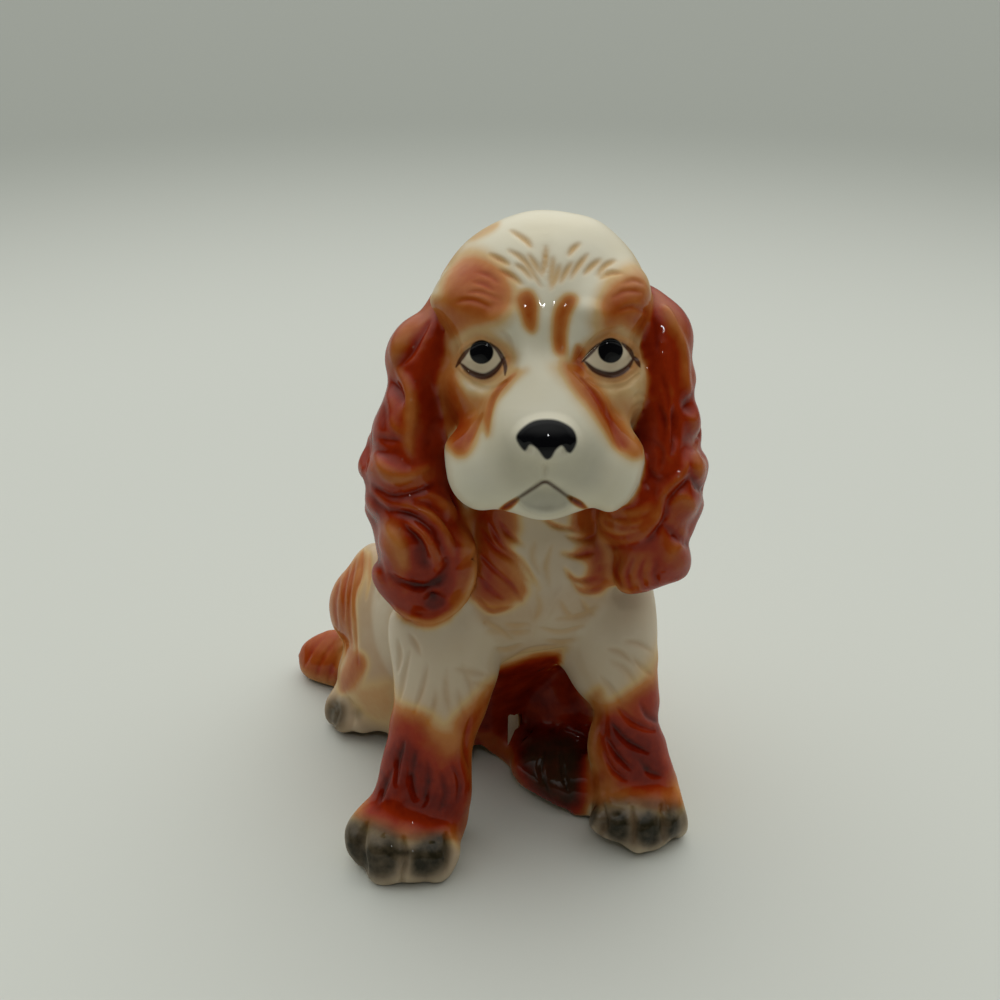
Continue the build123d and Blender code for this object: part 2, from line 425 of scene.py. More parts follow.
class Easel:
    """One viewpoint's sight of the skin, for drawing on what it sees."""

    CELL_PX = 5.0
    VEIL_MM = 7.0
    VEIL_ROUNDS = 3
    EDGE = 0.35

    def __init__(self, skin: Skin, view: Viewpoint, wrap: float = 0.15) -> None:
        """Projects the skin and finds what each casting shows of itself.

        Args:
            skin: the clay.
            view: where the eye is.
            wrap: how far marks run on around an edge, as a share of facing.
        """
        self.skin = skin
        self.view = view
        self.pixels, self.depth = view.project(skin.points)
        self.facing = view.facing(skin.points, skin.normals)
        last = int(view.frame_px / self.CELL_PX)
        cells = np.clip(np.floor(self.pixels / self.CELL_PX).astype(int), 0, last)
        key = (cells[:, 0] * (last + 1) + cells[:, 1]) * len(ORDER) + skin.labels
        nearest = np.full(key.max() + 1, np.inf)
        np.minimum.at(nearest, key, self.depth)
        clear = (self.depth < nearest[key] + self.VEIL_MM).astype(float)
        self.sight = smooth_step((self.facing + wrap) / self.EDGE) * skin.soften(clear, self.VEIL_ROUNDS)

    def near(self, allowed: np.ndarray, curve: np.ndarray, margin: float) -> np.ndarray:
        """Returns the seen vertices of the allowed castings around a curve.

        Args:
            allowed: how far each vertex may be drawn on.
            curve: points of the curve, in pixels.
            margin: distance around the curve's box, in pixels.

        Returns:
            The vertices' indices.
        """
        low, high = curve.min(0) - margin, curve.max(0) + margin
        within = np.all((self.pixels > low) & (self.pixels < high), axis=1)
        return np.flatnonzero(within & (self.sight > 0.01) & (allowed > 0.01))

    def mark(self, mark: Mark, allowed: np.ndarray) -> np.ndarray:
        """Finds the share of a mark's full depth at each vertex.

        Args:
            mark: the tool marks.
            allowed: how far each vertex may take them.

        Returns:
            A share from 0 to 1 for every vertex.
        """
        share = np.zeros(len(self.skin.points))
        for line in mark.lines:
            curve = curve_through(line)
            where = self.near(allowed, curve, mark.half_width)
            if not len(where):
                continue
            gap, way = gap_to(self.pixels[where], curve)
            # A tool lifts off at both ends, so a mark is narrow and shallow there.
            reach = mark.half_width * (0.35 + 0.65 * np.sin(np.pi * np.clip(way, 0.02, 0.98)) ** 0.6)
            taper = np.sin(np.pi * (0.06 + 0.88 * way)) ** 0.5
            share[where] = np.maximum(share[where], taper * smooth_step(1.0 - gap / reach))
        return share * self.sight * allowed

    def inside(self, outline: Line, feather: float, allowed: np.ndarray) -> np.ndarray:
        """Finds how far a closed outline covers each vertex.

        Args:
            outline: points of the outline, in pixels.
            feather: half width of the soft edge, in pixels.
            allowed: how far each vertex may be covered.

        Returns:
            A share from 0 to 1 for every vertex.
        """
        curve = curve_through(outline, 4, closed=True)
        where = self.near(allowed, curve, feather)
        cover = np.zeros(len(self.skin.points))
        if not len(where):
            return cover
        pixels = self.pixels[where]
        gap, _ = gap_to(pixels, curve)
        start, end = curve[:-1], curve[1:]
        rise = end[:, 1] - start[:, 1]
        rise = np.where(np.abs(rise) < 1e-9, 1e-9, rise)
        lean = (end[:, 0] - start[:, 0]) / rise
        across, down = pixels[:, :1], pixels[:, 1:]
        crosses = (start[None, :, 1] > down) != (end[None, :, 1] > down)
        level = start[None, :, 0] + (down - start[None, :, 1]) * lean[None]
        odd = (crosses & (across < level)).sum(1) % 2 == 1
        signed = np.where(odd, gap, -gap)
        cover[where] = smooth_step(0.5 + 0.5 * signed / feather)
        return cover * self.sight * allowed

    def oval(self, swell: Swell, allowed: np.ndarray) -> np.ndarray:
        """Returns the share of an oval's height at each vertex.

        Args:
            swell: the oval.
            allowed: how far each vertex may move.

        Returns:
            A share from 0 to 1 for every vertex.
        """
        turn = math.radians(swell.turn)
        away = self.pixels - np.asarray(swell.centre)
        first = (away[:, 0] * math.cos(turn) + away[:, 1] * math.sin(turn)) / swell.radii[0]
        second = (away[:, 1] * math.cos(turn) - away[:, 0] * math.sin(turn)) / swell.radii[1]
        return smooth_step(1.0 - np.hypot(first, second)) * self.sight * allowed


@dataclass(frozen=True)
class Tracer:
    """Moves the clay sideways until its outline meets a traced one.

    Attributes:
        spread: how far a move spreads over the picture, in pixels.
        reach: how far the clay is looked for on both sides of the traced line, in pixels.
        spacing: distance between the stops along the line, in pixels.
        strip: half width of the strip that is looked at around each stop, in pixels.
        hold: share of a full row of stops below which a move fades out.
    """

    spread: float
    reach: float = 28.0
    spacing: float = 4.0
    strip: float = 3.0
    hold: float = 0.7

    def fit(self, skin: Skin, outline: Line, allowed: np.ndarray) -> None:
        """Moves the allowed clay to one traced line, as the front viewpoint sees it.

        Args:
            skin: the clay.
            outline: the traced line; the figure lies to the left of who walks along it on the picture.
            allowed: how far each vertex may move.
        """
        fine = curve_through(outline, 12)
        run = np.concatenate([[0.0], np.cumsum(np.linalg.norm(np.diff(fine, axis=0), axis=1))])
        stops = np.linspace(0.0, run[-1], max(3, int(run[-1] / self.spacing)))
        curve = np.column_stack([np.interp(stops, run, fine[:, axis]) for axis in range(2)])
        heading = np.gradient(curve, axis=0)
        heading /= np.linalg.norm(heading, axis=1, keepdims=True)
        outward = np.column_stack([-heading[:, 1], heading[:, 0]])
        moving = np.flatnonzero(allowed > 0.01)
        pixels, depth = FRONT.project(skin.points[moving])
        own = pixels[allowed[moving] > 0.5]
        weight = np.zeros(len(moving))
        shift = np.zeros((len(moving), 2))
        for place, along, out in zip(curve, heading, outward):
            away = own - place
            excess = away @ out
            seen = excess[(np.abs(away @ along) < self.strip) & (np.abs(excess) < self.reach)]
            if not len(seen):
                continue
            move = out * seen.max()
            pull = np.exp(-0.5 * ((pixels - place - move) ** 2).sum(1) / self.spread ** 2)
            weight += pull
            shift -= pull[:, None] * move
        full = self.hold * self.spread * math.sqrt(math.tau) / self.spacing
        shift /= np.maximum(weight, full)[:, None]
        shift *= (allowed[moving] * depth / FRONT.focal_px)[:, None]
        right, up, _ = FRONT.axes()
        skin.points[moving] += shift[:, :1] * right - shift[:, 1:] * up


@dataclass
class Bench:
    """The modelling bench: the skin and the sights of it that the sub-assemblies share."""

    skin: Skin
    easel: Easel = field(init=False)

    def __post_init__(self) -> None:
        """Takes the first look."""
        self.look()

    def look(self, wrap: float = 0.15) -> Easel:
        """Looks at the skin again after it has moved."""
        self.easel = Easel(self.skin, FRONT, wrap)
        return self.easel


@dataclass(frozen=True)
class Clay:
    """How the rough clay is built up from the castings.

    Attributes:
        grain: size of the clay's first grain; the skin is twice as fine.
        wipes: passes that run the castings into each other.
        plugs: middle and half size of balls of clay that close the vent and the neck from inside, the
            slit between ear and cheek, and the notch between the torso's edge and the left hind paw.
        fine_zones: areas of the front viewpoint that are made finer, one halving each, in pixels.
        fine_front: the clay in front of this Y is made finer.
        seam_rounds: passes that smooth the seams between the castings.
    """

    grain: float
    wipes: int
    plugs: tuple[tuple[float, float, float, float], ...] = (
        (-7.3, 13.1, 8.5, 7.0), (20.4, -36.7, 97.0, 16.0), (2.0, -45.5, 103.0, 5.5),
        (2.0, -42.0, 99.0, 5.0),
        (17.5, -19.0, 4.0, 7.0), (21.0, -24.0, 4.0, 7.0))
    fine_zones: tuple[tuple[float, float, float, float], ...] = (
        (446, 326, 516, 390), (570, 326, 646, 390), (502, 408, 590, 470), (494, 470, 592, 516),
        (452, 334, 511, 382), (577, 332, 643, 382), (509, 414, 583, 464))
    fine_front: float = -44.0
    seam_rounds: int = 24

    def lump(self) -> bpy.types.Object:
        """Presses copies of all castings into one lump.

        Returns:
            A scratch object that holds the joined copies.
        """
        joined = bmesh.new()
        for casting in ORDER:
            joined.from_mesh(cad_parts[casting.value].data)
        bmesh.ops.remove_doubles(joined, verts=joined.verts, dist=1e-6)
        for plug in self.plugs:
            x, y, z, half = (value * MM for value in plug)
            bmesh.ops.create_icosphere(joined, subdivisions=3, radius=half,
                                       matrix=Matrix.Translation((x, y, z)))
        mesh = bpy.data.meshes.new("clay")
        joined.to_mesh(mesh)
        joined.free()
        lump = bpy.data.objects.new("clay", mesh)
        bpy.context.scene.collection.objects.link(lump)
        return lump

    def skin(self) -> Skin:
        """Rolls the lump into one even skin, with the castings run into each other.

        Returns:
            The skin, labelled with its castings.
        """
        lump = self.lump()
        grains = lump.modifiers.new("grains", "REMESH")
        grains.mode = "VOXEL"
        grains.voxel_size = self.grain * MM
        rough = self.outer_shell(self.bake(lump))
        sketch = read_skin(rough)
        away = distance_to_castings(sketch)
        sketch.relax(self.wipes)
        rough.vertices.foreach_set("co", (sketch.points * MM).ravel())
        lump.modifiers.clear()
        lump.data = rough
        finer = lump.modifiers.new("finer", "SUBSURF")
        finer.levels = finer.render_levels = 1
        mesh = self.bake(lump)
        bpy.data.objects.remove(lump)
        skin = read_skin(self.refine(mesh))
        tree = plant_tree(sketch.points)
        nearest = np.array([tree.find(point)[1] for point in skin.points])
        skin.labels = skin.soften(away[nearest], self.seam_rounds).argmin(1)
        self.drop_islands(skin)
        return skin

    @staticmethod
    def bake(lump: bpy.types.Object) -> bpy.types.Mesh:
        """Returns the mesh that an object's modifiers make.

        Args:
            lump: the object.

        Returns:
            A new mesh.
        """
        bpy.context.view_layer.update()
        seen = lump.evaluated_get(bpy.context.evaluated_depsgraph_get())
        return bpy.data.meshes.new_from_object(seen)

    @staticmethod
    def connected_parts(count: int, edges: np.ndarray) -> np.ndarray:
        """Numbers the connected parts of a mesh.

        Args:
            count: number of vertices.
            edges: ends of the edges that connect.

        Returns:
            The lowest vertex of each vertex's own part.
        """
        start, end = edges.T
        part = np.arange(count)
        while True:
            least = np.minimum(part[start], part[end])
            fresh = part.copy()
            np.minimum.at(fresh, start, least)
            np.minimum.at(fresh, end, least)
            fresh = fresh[fresh]
            if np.array_equal(fresh, part):
                return part
            part = fresh

    @classmethod
    def drop_islands(cls, skin: Skin) -> None:
        """Gives clay that is cut off from its own casting to the casting around it.

        Args:
            skin: the labelled skin.
        """
        start, end = skin.edges.T
        own = skin.edges[skin.labels[start] == skin.labels[end]]
        part = cls.connected_parts(len(skin.points), own)
        size = np.bincount(part, minlength=len(part))[part]
        largest = np.zeros(len(ORDER), int)
        np.maximum.at(largest, skin.labels, size)
        loose = size < largest[skin.labels]
        while loose.any():
            for inner, outer in ((start, end), (end, start)):
                rim = loose[inner] & ~loose[outer]
                skin.labels[inner[rim]] = skin.labels[outer[rim]]
                loose[inner[rim]] = False

    @classmethod
    def outer_shell(cls, mesh: bpy.types.Mesh) -> bpy.types.Mesh:
        """Keeps the largest connected part, which is the outside, and drops the hollows.

        Args:
            mesh: the mesh of all surfaces.

        Returns:
            The same mesh with one part left.
        """
        edges = np.empty(len(mesh.edges) * 2, int)
        mesh.edges.foreach_get("vertices", edges)
        part = cls.connected_parts(len(mesh.vertices), edges.reshape(-1, 2))
        largest = np.bincount(part).argmax()
        work = bmesh.new()
        work.from_mesh(mesh)
        work.verts.ensure_lookup_table()
        spare = [work.verts[index] for index in np.flatnonzero(part != largest)]
        bmesh.ops.delete(work, geom=spare, context="VERTS")
        work.to_mesh(mesh)
        work.free()
        return mesh

    def refine(self, mesh: bpy.types.Mesh) -> bpy.types.Mesh:
        """Makes the skin finer around the eyes, nose and mouth.

        Args:
            mesh: the even skin.

        Returns:
            The same mesh, in triangles.
        """
        work = bmesh.new()
        work.from_mesh(mesh)
        for x0, y0, x1, y1 in self.fine_zones:
            work.verts.index_update()
            places = np.array([vertex.co for vertex in work.verts]) / MM
            pixels, _ = FRONT.project(places)
            held = (pixels[:, 0] > x0) & (pixels[:, 0] < x1) & (pixels[:, 1] > y0) & (pixels[:, 1] < y1)
            held &= places[:, 1] < self.fine_front
            edges = [edge for edge in work.edges if held[edge.verts[0].index] and held[edge.verts[1].index]]
            bmesh.ops.subdivide_edges(work, edges=edges, cuts=1, use_grid_fill=True)
        bmesh.ops.triangulate(work, faces=work.faces)
        work.to_mesh(mesh)
        work.free()
        return mesh


def read_skin(mesh: bpy.types.Mesh) -> Skin:
    """Reads a mesh in metres into arrays in millimetres.

    Args:
        mesh: the mesh.

    Returns:
        The skin.
    """
    mesh.calc_loop_triangles()
    points = np.empty(len(mesh.vertices) * 3)
    mesh.vertices.foreach_get("co", points)
    triangles = np.empty(len(mesh.loop_triangles) * 3, int)
    mesh.loop_triangles.foreach_get("vertices", triangles)
    edges = np.empty(len(mesh.edges) * 2, int)
    mesh.edges.foreach_get("vertices", edges)
    return Skin(points.reshape(-1, 3) / MM, triangles.reshape(-1, 3), edges.reshape(-1, 2))


def plant_tree(points: np.ndarray) -> KDTree:
    """Returns a search tree over points.

    Args:
        points: places, one row each.

    Returns:
        The tree.
    """
    tree = KDTree(len(points))
    for index, point in enumerate(points):
        tree.insert(point, index)
    tree.balance()
    return tree


def distance_to_castings(skin: Skin, far: float = 4.0) -> np.ndarray:
    """Measures how far each vertex is from each casting.

    Args:
        skin: the rough skin.
        far: distance that stands for anything further.

    Returns:
        One column for each casting.
    """
    away = np.full((len(skin.points), len(ORDER)), far)
    for index, casting in enumerate(ORDER):
        copy = bmesh.new()
        copy.from_mesh(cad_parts[casting.value].data)
        tree = BVHTree.FromBMesh(copy)
        copy.free()
        low, high = (np.array(corner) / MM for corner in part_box(casting.value))
        near = np.all((skin.points > low - far / 2) & (skin.points < high + far / 2), axis=1)
        for vertex in np.flatnonzero(near):
            hit = tree.find_nearest(Vector(skin.points[vertex] * MM), far * MM)
            if hit[3] is not None:
                away[vertex, index] = hit[3] / MM
    return away


@dataclass(frozen=True)
class SubAssembly:
    """One casting: how it is modelled, painted and cut out.

    Attributes:
        casting: which casting.
        outlines: traced outlines, each with the casting on its left-hand side.
        outline_castings: the castings that move to the traced outlines.
        swells: broad forms.
        marks: tool marks.
        patches: painted areas.
        clouds: airbrushed areas on the hidden sides.
        combs: fur on the hidden sides.
        rust_base: rust over the whole casting.
        wash_base: thin wash over the whole casting.
        pooling: how strongly rust gathers in the hollows and leaves the ridges.
        fur_wash: how strongly thin wash gathers in the tool marks.
        wrap: how far marks run on around an edge, as a share of facing.
    """

    casting: Casting
    outlines: tuple[Line, ...] = ()
    outline_castings: tuple[Casting, ...] = ()
    swells: tuple[Swell, ...] = ()
    marks: tuple[Mark, ...] = ()
    patches: tuple[Patch, ...] = ()
    clouds: tuple[Cloud, ...] = ()
    combs: tuple[Comb, ...] = ()
    rust_base: float = 0.0
    wash_base: float = 0.0
    pooling: float = 0.25
    fur_wash: float = 0.3
    wrap: float = 0.15

    FIT_ROUNDS = 8
    PAINT_ROUNDS = 7
    POOL_ROUNDS = 2
    FINE_PULL = 1.6
    BROAD_PULL = 0.5
    PULL_RANGE = (-0.6, 0.9)

    def fit(self, bench: Bench, tracer: Tracer) -> None:
        """Brings the casting's outlines to the traced ones.

        Args:
            bench: the modelling bench.
            tracer: how the moves are made.
        """
        allowed = bench.skin.mask(self.outline_castings or (self.casting,), self.FIT_ROUNDS)
        for outline in self.outlines:
            tracer.fit(bench.skin, outline, allowed)

    def model(self, bench: Bench) -> None:
        """Models the broad forms and the tool marks.

        Args:
            bench: the modelling bench.
        """
        allowed = bench.skin.mask((self.casting,))
        easel = bench.look(self.wrap)
        lift = np.zeros(len(bench.skin.points))
        for swell in self.swells:
            lift += swell.height * easel.oval(swell, allowed)
        bench.skin.push(lift)
        easel = bench.look(self.wrap)
        lift = np.zeros(len(bench.skin.points))
        for mark in self.marks:
            if mark.depth:
                lift -= mark.depth * easel.mark(mark, allowed)
        bench.skin.push(lift)

    def comb(self, bench: Bench, tree: KDTree) -> None:
        """Combs the fur on the hidden sides.

        Args:
            bench: the modelling bench.
            tree: search tree over the skin.
        """
        skin = bench.skin
        hidden = skin.mask((self.casting,)) * (1.0 - skin.soften(bench.easel.sight, self.FIT_ROUNDS))
        for comb in self.combs:
            skin.push(-comb.depth * comb_share(comb, skin, tree, hidden))

    def paint(self, bench: Bench) -> None:
        """Lays the coats of paint.

        Args:
            bench: the modelling bench.
        """
        skin = bench.skin
        allowed = skin.mask((self.casting,), self.PAINT_ROUNDS)
        easel = bench.look(self.wrap)
        skin.lay(Coat.RUST, self.rust_base * allowed)
        skin.lay(Coat.WASH, self.wash_base * allowed)
        for cloud in self.clouds:
            away = (skin.points - np.asarray(cloud.centre)) / np.asarray(cloud.radii)
            skin.lay(cloud.coat, cloud.amount * allowed * smooth_step(1.25 - np.linalg.norm(away, axis=1)))
        for patch in self.patches:
            over = skin.mask(patch.castings, self.PAINT_ROUNDS) if patch.castings else allowed
            skin.lay(patch.coat, patch.amount * easel.inside(patch.outline, patch.feather, over))
        for mark in self.marks:
            if mark.paint:
                share = easel.mark(mark, allowed)
                for coat, amount in mark.paint:
                    skin.lay(coat, amount * share)

    def pool(self, skin: Skin, fine: np.ndarray, broad: np.ndarray) -> None:
        """Lets the glaze run off the ridges and gather in the hollows.

        Args:
            skin: the painted skin.
            fine: depth of each vertex below the lightly wiped surface.
            broad: depth of each vertex below the well wiped surface.
        """
        allowed = skin.mask((self.casting,), self.POOL_ROUNDS)
        gather = np.clip(self.FINE_PULL * fine + self.BROAD_PULL * broad, *self.PULL_RANGE)
        rust = skin.coats[Coat.RUST]
        skin.coats[Coat.RUST] = np.clip(rust * (1.0 + self.pooling * gather * allowed), 0.0, 1.0)
        groove = np.clip(2.6 * fine - 0.12, 0.0, 1.0)
        skin.lay(Coat.WASH, self.fur_wash * groove * allowed * (1.0 - smooth_step(3.0 * rust)))


def comb_share(comb: Comb, skin: Skin, tree: KDTree, hidden: np.ndarray) -> np.ndarray:
    """Draws short marks that follow the lie of the fur over the surface.

    Args:
        comb: the marks.
        skin: the clay.
        tree: search tree over the clay.
        hidden: how far each vertex takes the marks.

    Returns:
        The share of the full depth at each vertex.
    """
    rng = np.random.default_rng(comb.seed)
    pool = np.flatnonzero(hidden > 0.4)
    share = np.zeros(len(skin.points))
    step = 0.8 * comb.half_width
    lie = np.asarray(comb.lie, float)
    for start in rng.choice(pool, min(comb.count, len(pool)), replace=False):
        place, normal = skin.points[start].copy(), skin.normals[start]
        phase = rng.uniform(0.0, math.tau)
        steps = max(4, int(comb.length * rng.uniform(0.6, 1.2) / step))
        for index in range(steps):
            way = index / (steps - 1)
            heading = lie + comb.wave * math.sin(phase + math.tau * way) * np.cross(normal, lie)
            heading = heading - normal * (heading @ normal)
            place = place + step * heading / max(np.linalg.norm(heading), 1e-6)
            _, nearest, _ = tree.find(place)
            normal = skin.normals[nearest]
            place = place - normal * ((place - skin.points[nearest]) @ normal)
            taper = math.sin(math.pi * (0.08 + 0.84 * way))
            for _, near, gap in tree.find_range(place, comb.half_width):
                value = taper * (1.0 - (gap / comb.half_width) ** 2) ** 2
                if value > share[near]:
                    share[near] = value
    return share * hidden


@dataclass(frozen=True)
class Eye:
    """One painted eye in its socket, in pixels of the front viewpoint; heights are millimetres.

    Attributes:
        pupil: middle of the pupil.
        pupil_radius: radius of the pupil.
        upper_lid, lower_lid: edges of the opening, both from the same corner.
        lashes: brush lines along the upper lid and past the corners.
        bulge: how far the eyeball stands out.
        socket: depth of the socket.
        lid_height: height of the turned-up lids.
        lid_groove: depth of the groove along the opening.
        hem: half width of the soft edge of the pupil.
        blush: thin rust around the eye.
        wipe: how far the white is wiped clean.
        shade: thin wash over the white.
        lower_width, lash_width: half widths of the brush lines.
        lower_cover, lash_cover: how far the brush lines cover at most.
        load: how quickly a brush line reaches its cover.
    """

    pupil: tuple[float, float]
    pupil_radius: float
    upper_lid: Line
    lower_lid: Line
    lashes: tuple[Line, ...]
    bulge: float = 0.7
    socket: float = 1.0
    lid_height: float = 0.35
    lid_groove: float = 0.22
    hem: float = 0.8
    blush: float = 0.20
    wipe: float = 0.9
    shade: float = 0.16
    lower_width: float = 5.0
    lash_width: float = 3.4
    lower_cover: float = 0.96
    lash_cover: float = 0.92
    load: float = 1.8

    def almond(self, scale: float = 1.0) -> Line:
        """Returns the opening between the lids, scaled about its middle.

        Args:
            scale: size of the outline against the opening.

        Returns:
            The closed outline's points.
        """
        around = self.upper_lid + self.lower_lid[::-1][1:-1]
        middle = np.mean(around, axis=0)
        return tuple(tuple(middle + scale * (np.asarray(point) - middle)) for point in around)

    def model(self, bench: Bench, allowed: np.ndarray) -> None:
        """Presses the socket in, sets the eyeball and turns the lids up.

        Args:
            bench: the modelling bench.
            allowed: how far each vertex belongs to the head.
        """
        easel = bench.look()
        lift = -self.socket * easel.inside(self.almond(1.45), 13.0, allowed)
        lift += self.bulge * easel.inside(self.almond(0.9), 10.0, allowed)
        bench.skin.push(lift)
        easel = bench.look()
        around = self.almond(1.22)
        rims = Mark((around + around[:1],), 5.0)
        lift = self.lid_height * easel.mark(rims, allowed)
        lift -= self.lid_groove * easel.mark(Mark((self.upper_lid, self.lower_lid), 3.0), allowed)
        bench.skin.push(lift)

    def paint(self, bench: Bench, allowed: np.ndarray) -> None:
        """Paints the white, the pupil and the lid lines.

        Args:
            bench: the modelling bench.
            allowed: how far each vertex belongs to the head.
        """
        easel, skin = bench.easel, bench.skin
        skin.lay(Coat.RUST, self.blush * easel.inside(self.almond(1.5), 9.0, allowed))
        white = easel.inside(self.almond(1.02), 2.0, allowed)
        skin.lay(Coat.RUST, -self.wipe * white)
        skin.lay(Coat.WASH, -self.wipe * white)
        skin.lay(Coat.WASH, self.shade * white)
        away = np.hypot(*(easel.pixels - np.asarray(self.pupil)).T)
        round_pupil = smooth_step((self.pupil_radius + self.hem - away) / (2 * self.hem))
        skin.lay(Coat.INK, round_pupil * easel.sight * allowed)
        lower = easel.mark(Mark((self.lower_lid,), self.lower_width), allowed)
        upper = easel.mark(Mark(self.lashes, self.lash_width), allowed)
        skin.lay(Coat.LID, np.minimum(self.lower_cover, self.load * lower))
        skin.lay(Coat.LID, np.minimum(self.lash_cover, self.load * upper))


MOUTH: Line = ((504, 507), (520, 497), (534, 488), (545, 482), (556, 488), (567, 496), (582, 504))


